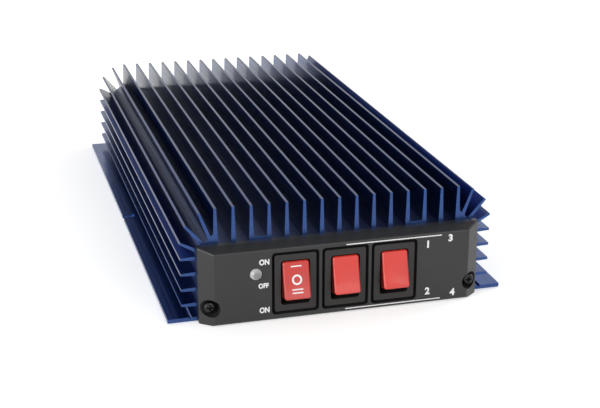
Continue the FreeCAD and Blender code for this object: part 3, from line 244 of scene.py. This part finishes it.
def moulded(name, colour, rough, grain_mm=0.35, relief_mm=0.02, specular=0.5, shade_box=None,
            wells=()):
    """Moulded plastic with a fine spark-eroded texture; in the given box and round each axis of a
    screw well it is rougher, and darker with painted shade."""
    shader = Shader(name)
    cloud = shader.noise(35.0, detail=4.0)
    grain = shader.noise(1.0 / (grain_mm * MM), detail=2.0)
    tone = shader.blend(shader.spread(cloud, 0, 1), colour, scaled(colour, 1.25))
    gloss = shader.uneven(grain, rough)
    # painted shade: the box and the screw wells are darkened, as if shade fell there
    shaded_zones = [shader.inside(*shade_box)] if shade_box else []
    shaded_zones += [shader.maths("LESS_THAN", shader.from_axis(axis), WELL_RADIUS) for axis in wells]
    for shade_mask in shaded_zones:
        tone = shader.blend(shade_mask, tone, scaled(colour, SHADE_TONE))
        gloss = shader.maths("MAXIMUM", gloss, shade_mask)
    shader.colour(tone)
    shader.roughness(gloss)
    shader.bump(grain, relief_mm, strength=0.6)
    shader.set(Specular_IOR_Level=specular)
    return shader.material


def glossy(name, colour, rough, coat=0.0, side_shade=1.0):
    """Smooth injection-moulded plastic with faint flow marks and fine scratches; painted shade
    darkens the sides that face along X to the given share of its colour."""
    shader = Shader(name)
    flow = shader.noise(60.0)
    scratch = shader.noise(900.0)
    tone = shader.blend(shader.spread(flow, 0, 1), colour, scaled(colour, 0.94))
    # painted shade on the sides that face along X
    shader.colour(shader.blend(shader.facing("X", limit=0.8), tone, scaled(colour, side_shade)))
    shader.roughness(shader.uneven(scratch, rough, less=0.01, more=0.02))
    shader.bump(flow, height_mm=0.01, strength=0.3)
    shader.set(Coat_Weight=coat, Coat_Roughness=0.16)
    return shader.material


def metal(name, colour, rough, brushed=(1, 1, 1), relief_mm=0.004):
    """Plated or bare metal with brush or tool marks."""
    shader = Shader(name)
    marks = shader.noise(2200.0, detail=4.0, stretch=brushed)
    tarnish = shader.noise(150.0, detail=5.0)
    shader.colour(shader.blend(shader.spread(tarnish, 0, 1), colour, scaled(colour, 0.78)))
    shader.roughness(shader.uneven(marks, rough))
    shader.bump(marks, relief_mm, strength=0.5)
    shader.set(Metallic=1.0)
    return shader.material


def laminate(name, colour, dark):
    """Circuit board or fibre plate: a fine weave under its coating."""
    shader = Shader(name)
    weave = shader.add("ShaderNodeTexChecker")
    weave.inputs["Scale"].default_value = 1100.0
    shader.join(shader.place, weave.inputs["Vector"])
    cloud = shader.noise(90.0, detail=4.0)
    shader.colour(shader.blend(shader.spread(cloud, 0, 1), colour, dark))
    shader.bump(weave.outputs["Fac"], height_mm=0.01, strength=0.4)
    shader.roughness(shader.spread(cloud, 0.35, 0.5))
    return shader.material


def clear_lens(name, axis, core, haze_colour, rim):
    """Clear moulded epoxy with a faint haze, and painted light that makes it paler towards its rim;
    its axis runs along Y.
    """
    shader = Shader(name)
    haze = shader.noise(900.0)
    tone = shader.blend(shader.spread(haze, 0, 1), core, haze_colour)
    # painted light: paler away from the axis, as if light gathered in the dome's rim
    pale = shader.spread(shader.from_axis(axis), 0, 1, *LENS_LIGHT_RIM)
    shader.colour(shader.blend(pale, tone, rim))
    shader.roughness(shader.spread(haze, 0.1, 0.2))
    shader.set(Transmission_Weight=0.25, IOR=1.5)
    return shader.material


def printed(name, ink, thin_ink):
    """Screen ink with slightly uneven cover."""
    shader = Shader(name)
    cover = shader.noise(1500.0, detail=4.0)
    shader.colour(shader.blend(shader.spread(cover, 0, 1), ink, thin_ink))
    shader.roughness(shader.spread(cover, 0.45, 0.6))
    shader.bump(cover, height_mm=0.006, strength=0.5)
    return shader.material


# ---------------------------------------------------------------- materials of this object

SWITCHES_HALF = 45.0 * MM                # a box round the three switches, each way from x = 0
SWITCHES_HEIGHT = (1.5 * MM, 35.5 * MM)  # and from its floor to its top
RECESS_SHADE = (0.15 * MM, 3.0 * MM)      # painted shade in the bezels' recesses, behind the panel's face
BEZEL_SHADE = 0.5 * MM                    # painted shade round the bezels, behind their own faces


def round_switches(start, end):
    """Corners of the box round the switches, from one place along Y to another."""
    bottom, top = SWITCHES_HEIGHT
    return (-SWITCHES_HALF, start, bottom), (SWITCHES_HALF, end, top)


def well_axes():
    """A place on the axis of each panel screw."""
    low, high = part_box("front_panel_screws")
    return [(x, 0, middle("front_panel_screws").z) for x in head_middles(low.x, high.x)]


blue = anodised_extrusion("blue_anodised_extrusion", sides=(0.016, 0.078, 0.36),
                          shaded_tips=(0.010, 0.045, 0.22), ends=(0.030, 0.074, 0.236))
# painted shade in the recesses round the bezels and in the panel screws' wells
black_moulding = moulded(
    "black_panel_moulding", (0.0138, 0.0141, 0.0152), 0.36, specular=0.48,
    shade_box=round_switches(FACE_Y + RECESS_SHADE[0], FACE_Y + RECESS_SHADE[1]), wells=well_axes())
# painted shade behind the bezels' faces, in the switches' openings
switch_black = moulded(
    "switch_black_moulding", (0.017, 0.0155, 0.0148), 0.36, grain_mm=0.25, relief_mm=0.01,
    specular=0.35, shade_box=round_switches(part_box("mode_switch_housing")[0].y + BEZEL_SHADE, 0.0))
# painted shade on the rockers' sides
rocker_red = glossy("rocker_red_plastic", (0.66, 0.034, 0.022), 0.32, coat=0.2, side_shade=0.18)
power_red = glossy("power_rocker_red_plastic", (0.54, 0.030, 0.021), 0.32, coat=0.2,
                   side_shade=0.25)
screw_black = metal("black_oxide_steel", (0.045, 0.045, 0.047), 0.36)
screw_steel = metal("zinc_plated_steel", (0.62, 0.61, 0.58), 0.33)
nickel = metal("nickel_plating", (0.66, 0.64, 0.60), 0.24, relief_mm=0.001)
tinned = metal("tinned_brass", (0.74, 0.72, 0.66), 0.35, brushed=(1, 0.1, 1))
gold = metal("plated_contact", (0.78, 0.58, 0.24), 0.25)
brass = metal("bare_brass", (0.68, 0.50, 0.22), 0.34, brushed=(1, 0.1, 1))
white_ptfe = glossy("socket_insulator_white", (0.72, 0.70, 0.64), 0.45)
black_rubber = moulded("black_rubber", (0.016, 0.016, 0.016), 0.62, grain_mm=0.5,
                       relief_mm=0.03, specular=0.35)
board_green = laminate("green_circuit_board", (0.02, 0.11, 0.045), (0.014, 0.075, 0.03))
fibre_plate = laminate("fibre_end_plate", (0.30, 0.20, 0.07), (0.24, 0.15, 0.05))
ferrite = moulded("dark_ferrite", (0.035, 0.032, 0.030), 0.7, grain_mm=0.4, relief_mm=0.04)
ceramic = moulded("transistor_ceramic", (0.62, 0.60, 0.54), 0.5, grain_mm=0.3, relief_mm=0.01)
relay_blue = glossy("relay_case_blue", (0.02, 0.035, 0.12), 0.35)
can_sleeve = glossy("capacitor_sleeve", (0.012, 0.016, 0.045), 0.3)
dipped = moulded("dipped_mica", (0.22, 0.065, 0.03), 0.4, grain_mm=0.6, relief_mm=0.03)
fuse_red = glossy("fuse_red_plastic", (0.45, 0.03, 0.02), 0.28)
# painted light: the lens grows paler towards its rim
lens_clear = clear_lens("clear_lamp_lens", middle("led_lens"), core=(0.33, 0.33, 0.33),
                        haze_colour=(0.27, 0.27, 0.28), rim=(0.75, 0.75, 0.75))
white_ink = printed("white_print", (0.86, 0.86, 0.85), (0.74, 0.74, 0.74))

# The finish of each node, by its name or by its name without its first word.
FINISH = {
    "heatsink_body": blue,
    "base_plate": blue,
    "base_screws": screw_steel,
    "front_panel": black_moulding,
    "rear_panel": black_moulding,
    "front_panel_screws": screw_black,
    "rear_panel_screws": screw_black,
    "switch_housing": switch_black,
    "rocker": rocker_red,
    "power_rocker": power_red,
    "switch_terminals": tinned,
    "led_lens": lens_clear,
    "led_leads": tinned,
    "socket_shell": nickel,
    "socket_insulator": white_ptfe,
    "socket_contact": gold,
    "socket_nut": nickel,
    "cable_gland": black_rubber,
    "circuit_board": board_green,
    "power_transistors": ceramic,
    "transistor_screws": screw_steel,
    "output_transformer_cores": ferrite,
    "output_transformer_tubes": brass,
    "output_transformer_end_plates": fibre_plate,
    "input_transformer_core": ferrite,
    "input_transformer_tubes": brass,
    "relays": relay_blue,
    "electrolytic_capacitors": can_sleeve,
    "supply_choke": ferrite,
    "mica_capacitors": dipped,
    "fuse_holders": switch_black,
    "blade_fuses": fuse_red,
}


# ---------------------------------------------------------------- finish of the CAD nodes

# The rounds on the edges of each node whose name ends so: width in mm, number of segments, and
# the angle in degrees from which an edge is rounded.
ROUNDS = {
    "heatsink_body": (0.22, 2, 28),
    "base_plate": (0.3, 2, 28),
    "cable_gland": (0.5, 3, 28),
    "_rocker": (0.3, 3, 34),
    "_housing": (0.35, 3, 28),
}
SAME_PLACE = 1e-6                        # corners this close are one corner, in metres
FLAT_WITHIN = math.radians(0.5)          # facets this close in direction are one face


def soften(item, width_mm, segments, sharp):
    """Small rounds on a CAD node's edges, made by modifiers over its untouched mesh."""
    weld = item.modifiers.new("weld", "WELD")
    weld.merge_threshold = SAME_PLACE
    merge = item.modifiers.new("merge_flats", "DECIMATE")
    merge.decimate_type = "DISSOLVE"
    merge.angle_limit = FLAT_WITHIN
    bevel = item.modifiers.new("edge_rounds", "BEVEL")
    bevel.width = width_mm * MM
    bevel.segments = segments
    bevel.limit_method = "ANGLE"
    bevel.angle_limit = math.radians(sharp)
    bevel.harden_normals = True


def dress_nodes():
    for name, item in nodes.items():
        finish = FINISH.get(name) or FINISH[name.split("_", 1)[1]]
        item.data.materials.clear()
        item.data.materials.append(finish)
        for ending, rounds in ROUNDS.items():
            if name.endswith(ending):
                soften(item, *rounds)


# ---------------------------------------------------------------- meshes of the small pieces

STEPS = 48               # points in a ring
SMOOTH_BELOW = math.radians(32)
SAME_POINT = 1e-7        # points of a skin this close are one point, in metres


def piece(name, mesh, material, body="root", stands_for=()):
    """A finished piece of the object: painted, and carried by a CAD body."""
    item = add_object(name, mesh)
    mesh.materials.clear()
    mesh.materials.append(material)
    mesh.shade_smooth()
    mesh.set_sharp_from_angle(angle=SMOOTH_BELOW)
    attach(item, body)
    if stands_for:
        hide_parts(*stands_for)


def square_to(way):
    """The way as a vector, and two directions square to it, the first of them X."""
    way = Vector(way)
    side = Vector((1, 0, 0))
    return way, side, way.cross(side)


def reading(source, angle):
    """A size that may change round an axis."""
    return source(angle) if callable(source) else source


def ring(place, way, radius, along, steps=STEPS):
    """Points round an axis. Radius and distance along the way are in mm, plain or by angle."""
    way, side, other = square_to(way)
    points = []
    for step in range(steps):
        angle = math.tau * step / steps
        out = math.cos(angle) * side + math.sin(angle) * other
        points.append(place + MM * (reading(radius, angle) * out + reading(along, angle) * way))
    return points


def skin(rings, tube=False):
    """Closed mesh over rings of points; in a tube the last ring joins the first."""
    build = bmesh.new()
    rows = [[build.verts.new(point) for point in points] for points in rings]
    pairs = list(zip(rows, rows[1:]))
    if tube:
        pairs.append((rows[-1], rows[0]))
    else:
        build.faces.new(rows[0])
        build.faces.new(rows[-1])
    for first, second in pairs:
        for i in range(len(first)):
            build.faces.new((first[i - 1], first[i], second[i], second[i - 1]))
    bmesh.ops.remove_doubles(build, verts=build.verts, dist=SAME_POINT)
    bmesh.ops.recalc_face_normals(build, faces=build.faces)
    mesh = bpy.data.meshes.new("skin")
    build.to_mesh(mesh)
    build.free()
    return mesh


def carved(mesh, cutters):
    """The mesh with each cutter's space taken out of it."""
    whole = add_object("whole", mesh)
    tools = [add_object("tool", cutter) for cutter in cutters]
    for tool in tools:
        cut = whole.modifiers.new("cut", "BOOLEAN")
        cut.operation = "DIFFERENCE"
        cut.solver = "EXACT"
        cut.object = tool
    result = finished_mesh(whole)
    for item in [whole] + tools:
        bpy.data.objects.remove(item)
    return result


def thread(crest, pitch, depth, along):
    """Radius by angle at one place along a single-start thread."""
    def radius(angle):
        return crest - depth * abs(2 * ((along / pitch - angle / math.tau) % 1) - 1)
    return radius


def threaded(place, way, crest, pitch, depth, start, end, rows_a_turn=6, steps=STEPS):
    """Rings along a threaded stretch, from start to end in mm along the way."""
    count = max(2, round((end - start) / pitch * rows_a_turn))
    stops = [start + (end - start) * i / count for i in range(count + 1)]
    return [ring(place, way, thread(crest, pitch, depth, stop), stop, steps) for stop in stops]


# ---------------------------------------------------------------- screws, sizes in mm

SHANK_RADIUS = 1.45
SHANK_PITCH = 1.0
SHANK_DEPTH = 0.25
SHANK_PLAIN = 0.2        # length without thread under the head
POINT_LENGTH = 0.5
POINT_SHARE = 0.7        # radius of the point's end, as a share of the shank's
PAN_HEIGHT = 2.0
PAN_SIDE = 0.9           # height of the head's straight side
PAN_CROWN = 1.3          # radius of the flat middle of the crown
PAN_STEPS = 7
FLAT_EDGE = (0.1, 0.08)  # round at a flat head's rim, inward and down
COUNTERSINK = 1.35       # height of a flat head's cone
CROSS_DEPTH = 1.35
CROSS_OVERRUN = 0.1      # the recess's cutter starts this much above the head
CROSS_ARM = (1.65, 0.55)     # half length of the cross, at the head's top and at its bottom
CROSS_WIDTH = (0.46, 0.3)    # and half width of each arm


def pan_head():
    """Profile of a pan head from its top down to its seat, as (radius, depth)."""
    profile = []
    for i in range(PAN_STEPS + 1):
        turn = math.pi / 2 * i / PAN_STEPS
        profile.append((PAN_CROWN + (HEAD_RADIUS - PAN_CROWN) * math.sin(turn),
                        (PAN_HEIGHT - PAN_SIDE) * (1 - math.cos(turn))))
    return profile + [(HEAD_RADIUS, PAN_HEIGHT), (SHANK_RADIUS, PAN_HEIGHT)]


def flat_head():
    """Profile of a countersunk head."""
    inward, down = FLAT_EDGE
    return [(HEAD_RADIUS - inward, 0.0), (HEAD_RADIUS, down), (SHANK_RADIUS, COUNTERSINK)]


def cross_ring(place, way, arm, width, along):
    """Outline of the cross recess at one depth."""
    way, side, other = square_to(way)
    corner = [(arm, -width), (arm, width), (width, width)]
    points = []
    for quarter in range(4):
        turn = quarter * math.pi / 2
        for x, y in corner:
            across = x * math.cos(turn) - y * math.sin(turn)
            up = x * math.sin(turn) + y * math.cos(turn)
            points.append(place + MM * (across * side + up * other + along * way))
    return points


def screw(name, place, way, head, length, material, node):
    """Driven screw with a cross recess; the place is the middle of its head's top."""
    rings = [ring(place, way, radius, depth) for radius, depth in head]
    seat = head[-1][1]
    rings += threaded(place, way, SHANK_RADIUS, SHANK_PITCH, SHANK_DEPTH,
                      seat + SHANK_PLAIN, length - POINT_LENGTH, rows_a_turn=4)
    rings.append(ring(place, way, SHANK_RADIUS * POINT_SHARE, length))
    cross = skin([cross_ring(place, way, CROSS_ARM[0], CROSS_WIDTH[0], -CROSS_OVERRUN),
                  cross_ring(place, way, CROSS_ARM[1], CROSS_WIDTH[1], CROSS_DEPTH)])
    piece(name, carved(skin(rings), [cross]), material, stands_for=[node])


def panel_screws(label, way):
    """The two screws of an end panel, from the places of their CAD node."""
    node = label + "_panel_screws"
    low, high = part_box(node)
    top = low.y if way > 0 else high.y
    for side, x in zip(("left", "right"), head_middles(low.x, high.x)):
        screw(f"{label}_panel_screw_{side}", Vector((x, top, middle(node).z)), (0, way, 0),
              pan_head(), (high.y - low.y) / MM, screw_black, node)


def base_screws():
    """The four countersunk screws of the base plate."""
    low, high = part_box("base_screws")
    for i, x in enumerate(head_middles(low.x, high.x)):
        for j, y in enumerate(head_middles(low.y, high.y)):
            screw(f"base_screw_{i}{j}", Vector((x, y, low.z)), (0, 0, 1), flat_head(),
                  (high.z - low.z) / MM, screw_steel, "base_screws")


# ---------------------------------------------------------------- coaxial sockets, sizes in mm

HEX_FLATS = 19.0
HEX_HEIGHT = 3.0
SOCKET_CREST = 7.9
SOCKET_PITCH = 1.058     # 24 turns to the inch
SOCKET_THREAD_DEPTH = 0.6
SOCKET_BORE = 5.8
SOCKET_OUTSIDE = 14.5    # length outside the panel
BACK_RUNOUT = 0.3        # length without thread at the inner end and behind the hexagon
NECK_RUNOUT = 0.5        # in front of the hexagon
RIM_RUNOUT = 0.7         # and at the rim
BORE_CHAMFER = 0.3
NOTCH_WIDTH = 1.7
NOTCH_DEPTH = 1.3
NOTCH_OVERRUN = 0.2      # the notches' cutters stand this much out of the rim
NOTCH_REACH = 1.0        # and run this much past the thread
CHAMFER_CIRCLE = 9.7     # radius of the hexagon's chamfer on its outer face
CHAMFER_SLOPE = math.tan(math.radians(30))
SOCKET_STEPS = 72


def hex_radius(angle):
    """Radius of the hexagon, which has a corner on each side along X."""
    return HEX_FLATS / 2 / math.cos(angle % (math.pi / 3) - math.pi / 6)


def chamfered(angle):
    """Radius of the hexagon's outer face."""
    return min(hex_radius(angle), CHAMFER_CIRCLE)


def bar(centre, along, width, depth, length):
    """Closed box from its middle, its long way in the XZ plane and its sizes in mm."""
    across = Vector((-along.z, 0, along.x))
    corners = [(-1, -1), (1, -1), (1, 1), (-1, 1)]
    ends = []
    for end in (-1, 1):
        ends.append([centre + MM * (end * length / 2 * along + a * width / 2 * across
                                    + Vector((0, b * depth / 2, 0))) for a, b in corners])
    return skin(ends)


def socket_shell(label):
    """Threaded shell with its chamfered hexagon and the four notches in its rim."""
    node = label + "_socket_shell"
    low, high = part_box(node)
    way = (0, 1, 0)
    place = Vector((middle(node).x, low.y, middle(node).z))
    length = (high.y - low.y) / MM
    hex_start = length - SOCKET_OUTSIDE
    hex_end = hex_start + HEX_HEIGHT
    core = SOCKET_CREST - SOCKET_THREAD_DEPTH

    def put(radius, along):
        return ring(place, way, radius, along, SOCKET_STEPS)

    def put_thread(start, end):
        return threaded(place, way, SOCKET_CREST, SOCKET_PITCH, SOCKET_THREAD_DEPTH, start, end,
                        steps=SOCKET_STEPS)

    def shoulder_edge(angle):
        return hex_end - CHAMFER_SLOPE * (hex_radius(angle) - chamfered(angle))

    rings = [put(SOCKET_BORE, 0), put(core, 0)]
    rings += put_thread(BACK_RUNOUT, hex_start - BACK_RUNOUT)
    rings += [put(core, hex_start), put(hex_radius, hex_start), put(hex_radius, shoulder_edge),
              put(chamfered, hex_end), put(core, hex_end)]
    rings += put_thread(hex_end + NECK_RUNOUT, length - RIM_RUNOUT)
    rings += [put(core, length), put(SOCKET_BORE + BORE_CHAMFER, length),
              put(SOCKET_BORE, length - BORE_CHAMFER)]
    centre = place + MM * (length - (NOTCH_DEPTH - NOTCH_OVERRUN) / 2) * Vector(way)
    notches = [bar(centre, Vector((math.cos(turn), 0, math.sin(turn))), NOTCH_WIDTH,
                   NOTCH_DEPTH + NOTCH_OVERRUN, 2 * (SOCKET_CREST + NOTCH_REACH))
               for turn in (math.pi / 4, 3 * math.pi / 4)]
    piece(node + "_threaded", carved(skin(rings, tube=True), notches), nickel,
          stands_for=[node])


# ---------------------------------------------------------------- indicator lamp, sizes in mm

FRAME_SUNK = 0.4         # the lead frame starts this far inside the lens's back
FRAME_PITCH = 1.27
# profiles from the foot, as (radius, height): the middle post with its cup, and a side post
CUP_POST = [(0.25, 0), (0.25, 2.1), (0.76, 2.4), (0.95, 3.1), (0.75, 3.1), (0.38, 2.65)]
SIDE_POST = [(0.28, 0), (0.28, 2.3), (0.5, 2.5), (0.5, 2.9), (0.2, 3.0)]
CUP_STEPS = 24
POST_STEPS = 16


def lamp_frame():
    """Lead frame cast into the lens: three posts, the middle one with its cup."""
    centre = middle("led_lens")
    back = Vector((centre.x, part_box("led_lens")[1].y - FRAME_SUNK * MM, centre.z))
    way = (0, -1, 0)
    rings = [ring(back, way, radius, along, CUP_STEPS) for radius, along in CUP_POST]
    piece("lamp_cup", skin(rings), tinned)
    for name, side in (("left", -1), ("right", 1)):
        foot = back + MM * side * FRAME_PITCH * Vector((1, 0, 0))
        rings = [ring(foot, way, radius, along, POST_STEPS) for radius, along in SIDE_POST]
        piece("lamp_post_" + name, skin(rings), tinned)


# ---------------------------------------------------------------- print, sizes in mm

INK_PROUD = 0.02
INK_SUNK = 0.01
LETTER_WEIGHT = 0.042    # widening of the letters' lines, as a share of their size
# the rules on the front panel: x of both ends, and height
RULES = {
    "upper_rule": (1.0, 49.2, 35.0),
    "lower_rule": (0.8, 49.4, 1.7),
}
RULE_WIDTH = 0.5
RULE_END_STEPS = 8
# the lettering: text, x and z of its middle, height, and a share of the letters' own width
LETTERING = {
    "print_on_upper": ("ON", -39.6, 30.3, 2.9, 0.85),
    "print_off": ("OFF", -40.0, 18.3, 2.6, 0.85),
    "print_on_lower": ("ON", -39.65, 5.7, 2.9, 0.85),
    "print_one": ("1", 42.4, 30.9, 3.8, 1.0),
    "print_two": ("2", 42.8, 6.2, 3.8, 1.0),
    "print_three": ("3", 54.0, 33.1, 3.8, 1.0),
    "print_four": ("4", 56.0, 4.2, 3.8, 1.0),
}


def plate(outline):
    """Thin plate of ink on the panel's face; the outline is in (x, z) mm."""
    rings = [[Vector((x * MM, FACE_Y + offset * MM, z * MM)) for x, z in outline]
             for offset in (-INK_PROUD, INK_SUNK)]
    return skin(rings)


def rule_outline(x_start, x_end, z):
    """Outline of a level rule with round ends."""
    points = []
    for x, half in ((x_end, -1), (x_start, 1)):
        for i in range(RULE_END_STEPS + 1):
            angle = half * math.pi / 2 + math.pi * i / RULE_END_STEPS
            points.append((x + RULE_WIDTH / 2 * math.cos(angle),
                           z + RULE_WIDTH / 2 * math.sin(angle)))
    return points


def words(name, text, x, z, height, width):
    """Flat lettering on the front panel."""
    curve = bpy.data.curves.new(name, "FONT")
    curve.body = text
    curve.size = 1.0
    curve.offset = LETTER_WEIGHT
    curve.extrude = 0.5      # any depth will do, as both faces are laid below
    outline = add_object(name + "_outline", curve)
    mesh = finished_mesh(outline)
    bpy.data.objects.remove(outline)
    xs = [corner.co.x for corner in mesh.vertices]
    ys = [corner.co.y for corner in mesh.vertices]
    size = height * MM / (max(ys) - min(ys))
    middle_x = (max(xs) + min(xs)) / 2
    middle_y = (max(ys) + min(ys)) / 2
    for corner in mesh.vertices:
        depth = -INK_PROUD if corner.co.z > 0 else INK_SUNK
        corner.co = Vector((x * MM + (corner.co.x - middle_x) * size * width,
                            FACE_Y + depth * MM,
                            z * MM + (corner.co.y - middle_y) * size))
    piece(name, mesh, white_ink)


def panel_print():
    """Two rules, and plain numbers and ON, OFF, ON beside the lamp and the switches."""
    for name, places in RULES.items():
        piece(name, plate(rule_outline(*places)), white_ink)
    for name, setting in LETTERING.items():
        words(name, *setting)


ROCKER_TILT = math.radians(16)           # of a rocker at rest, from the middle of its travel
BARS = {"mark_one": 6.7, "mark_two_upper": -4.5, "mark_two_lower": -6.1}     # heights
BAR_HALF = 2.65          # half length of a bar
BAR_WIDTH = 0.6
BAR_STEPS = 12
ZERO_HEIGHT = 0.15
ZERO_RADII = (1.6, 2.05, 2.5)    # the ring's inner edge, middle and outer edge
LAY_FROM = 20            # the marks are laid from this far in front of the pivot


def rocker_print():
    """The one-bar, ring and two-bar marks on the power rocker, laid on its curved face."""
    item = nodes["power_rocker"]
    tree = BVHTree.FromPolygons([corner.co for corner in item.data.vertices],
                                [face.vertices for face in item.data.polygons])
    pivot = Vector(next(joint for joint in frame["record"]["behaviour"]["joints"]
                        if joint["child"] == "power_rocker")["pos_m"])
    turn = Matrix.Rotation(-ROCKER_TILT, 4, "X")

    def laid(x, height):
        """Places just over and just under the face, at a place in the rocker's own frame."""
        start = pivot + turn @ (MM * Vector((x, -LAY_FROM, height)))
        way = turn @ Vector((0, 1, 0))
        place = tree.ray_cast(start, way)[0]
        return place - way * INK_PROUD * MM, place + way * INK_SUNK * MM

    def band(row):
        """Closed ring of places round a strip of ink, from a row of places across it."""
        both = [laid(x, height) for x, height in row]
        return [over for over, under in both] + [under for over, under in reversed(both)]

    for name, height in BARS.items():
        rings = []
        for i in range(BAR_STEPS + 1):
            x = BAR_HALF * (2 * i / BAR_STEPS - 1)
            rings.append(band([(x, height + BAR_WIDTH / 2 * side) for side in (-1, 0, 1)]))
        piece(name, skin(rings), white_ink, "power_rocker")
    rings = []
    for i in range(STEPS):
        angle = math.tau * i / STEPS
        rings.append(band([(radius * math.cos(angle), ZERO_HEIGHT + radius * math.sin(angle))
                           for radius in ZERO_RADII]))
    piece("mark_zero", skin(rings, tube=True), white_ink, "power_rocker")


dress_nodes()
panel_screws("front", 1)
panel_screws("rear", -1)
base_screws()
for socket in ("antenna", "radio"):
    socket_shell(socket)
lamp_frame()
panel_print()
rocker_print()


# ---------------------------------------------------------------- stage, light and camera

# the camera as fitted to the photograph, in metres, degrees and the photograph's pixels
CAMERA_PLACE = Vector((-0.1746, -0.7071, 0.2623))
CAMERA_YAW = 15.47
CAMERA_PITCH = 19.7
CAMERA_ROLL = 0.06
SENSOR_MM = 36.0
FRAME_WIDTH_PX = 600.0
FOCAL_PX = 1300.9

# each softbox: its place and diameter in metres, and its power in watts
SOFTBOXES = {
    "left_softbox": ((-1.15, -0.65, 0.4), 0.8, 8.0),
    "front_softbox": ((0.35, -1.25, 0.55), 0.6, 2.5),
    "right_softbox": ((1.15, 0.35, 0.3), 0.8, 7.0),
}
SOFTBOX_AIM = Vector((0, 0, 0.02))
TENT_WALL = (0.35, (1, 1, 1, 1))         # position in the world's ramp, and colour
TENT_TOP = (0.95, (0.3, 0.3, 0.31, 1))
FLOOR_SIZE = 6.0
FLOOR_DROP = 0.0004                      # the floor lies this far under the base plate
FLOOR_COLOUR = (0.9, 0.9, 0.89, 1)
FLOOR_GLOW = 0.42        # added for rays that see the floor, so that its open part is white


def add_camera():
    data = bpy.data.cameras.new("photo_camera")
    data.sensor_fit = "HORIZONTAL"
    data.sensor_width = SENSOR_MM
    data.lens = FOCAL_PX / FRAME_WIDTH_PX * SENSOR_MM
    camera = add_object("photo_camera", data)
    turn = (Matrix.Rotation(math.radians(-CAMERA_YAW), 4, "Z")
            @ Matrix.Rotation(math.radians(90 - CAMERA_PITCH), 4, "X")
            @ Matrix.Rotation(math.radians(CAMERA_ROLL), 4, "Z"))
    camera.matrix_world = Matrix.Translation(CAMERA_PLACE) @ turn
    bpy.context.scene.camera = camera


def add_softbox(name, place, size, power):
    data = bpy.data.lights.new(name, "AREA")
    data.shape = "DISK"
    data.size = size
    data.energy = power
    lamp = add_object(name, data)
    lamp.location = place
    lamp.rotation_euler = (SOFTBOX_AIM - Vector(place)).to_track_quat("-Z", "Y").to_euler()


def add_world():
    """White at the horizon and dimmer overhead, as in a light tent."""
    world = bpy.data.worlds.new("light_tent")
    bpy.context.scene.world = world
    world.use_nodes = True
    tree = world.node_tree
    direction = tree.nodes.new("ShaderNodeTexCoord")
    split = tree.nodes.new("ShaderNodeSeparateXYZ")
    ramp = tree.nodes.new("ShaderNodeValToRGB")
    tree.links.new(direction.outputs["Generated"], split.inputs["Vector"])
    tree.links.new(split.outputs["Z"], ramp.inputs["Fac"])
    tree.links.new(ramp.outputs["Color"], tree.nodes["Background"].inputs["Color"])
    for element, (position, colour) in zip(ramp.color_ramp.elements, (TENT_WALL, TENT_TOP)):
        element.position = position
        element.color = colour


def add_floor():
    """White table top whose open part reads as white, and which keeps the shadow."""
    bpy.ops.mesh.primitive_plane_add(size=FLOOR_SIZE, location=(0, 0, -FLOOR_DROP))
    floor = bpy.context.object
    floor.name = "studio_floor"
    shader = Shader("white_table")
    shader.set(Base_Color=FLOOR_COLOUR, Roughness=0.6, Specular_IOR_Level=0.2)
    rays = shader.add("ShaderNodeLightPath").outputs
    seen = shader.maths("MAXIMUM", rays["Is Camera Ray"], rays["Is Glossy Ray"])
    seen = shader.maths("MAXIMUM", seen, rays["Is Transmission Ray"])
    glow = shader.add("ShaderNodeEmission")
    shader.join(shader.maths("MULTIPLY", seen, FLOOR_GLOW), glow.inputs["Strength"])
    both = shader.add("ShaderNodeAddShader")
    shader.join(shader.surface.outputs["BSDF"], both.inputs[0])
    shader.join(glow.outputs["Emission"], both.inputs[1])
    shader.join(both.outputs["Shader"], shader.output.inputs["Surface"])
    floor.data.materials.append(shader.material)


add_camera()
add_world()
add_floor()
for name, setting in SOFTBOXES.items():
    add_softbox(name, *setting)
bpy.context.scene.view_settings.view_transform = "Standard"
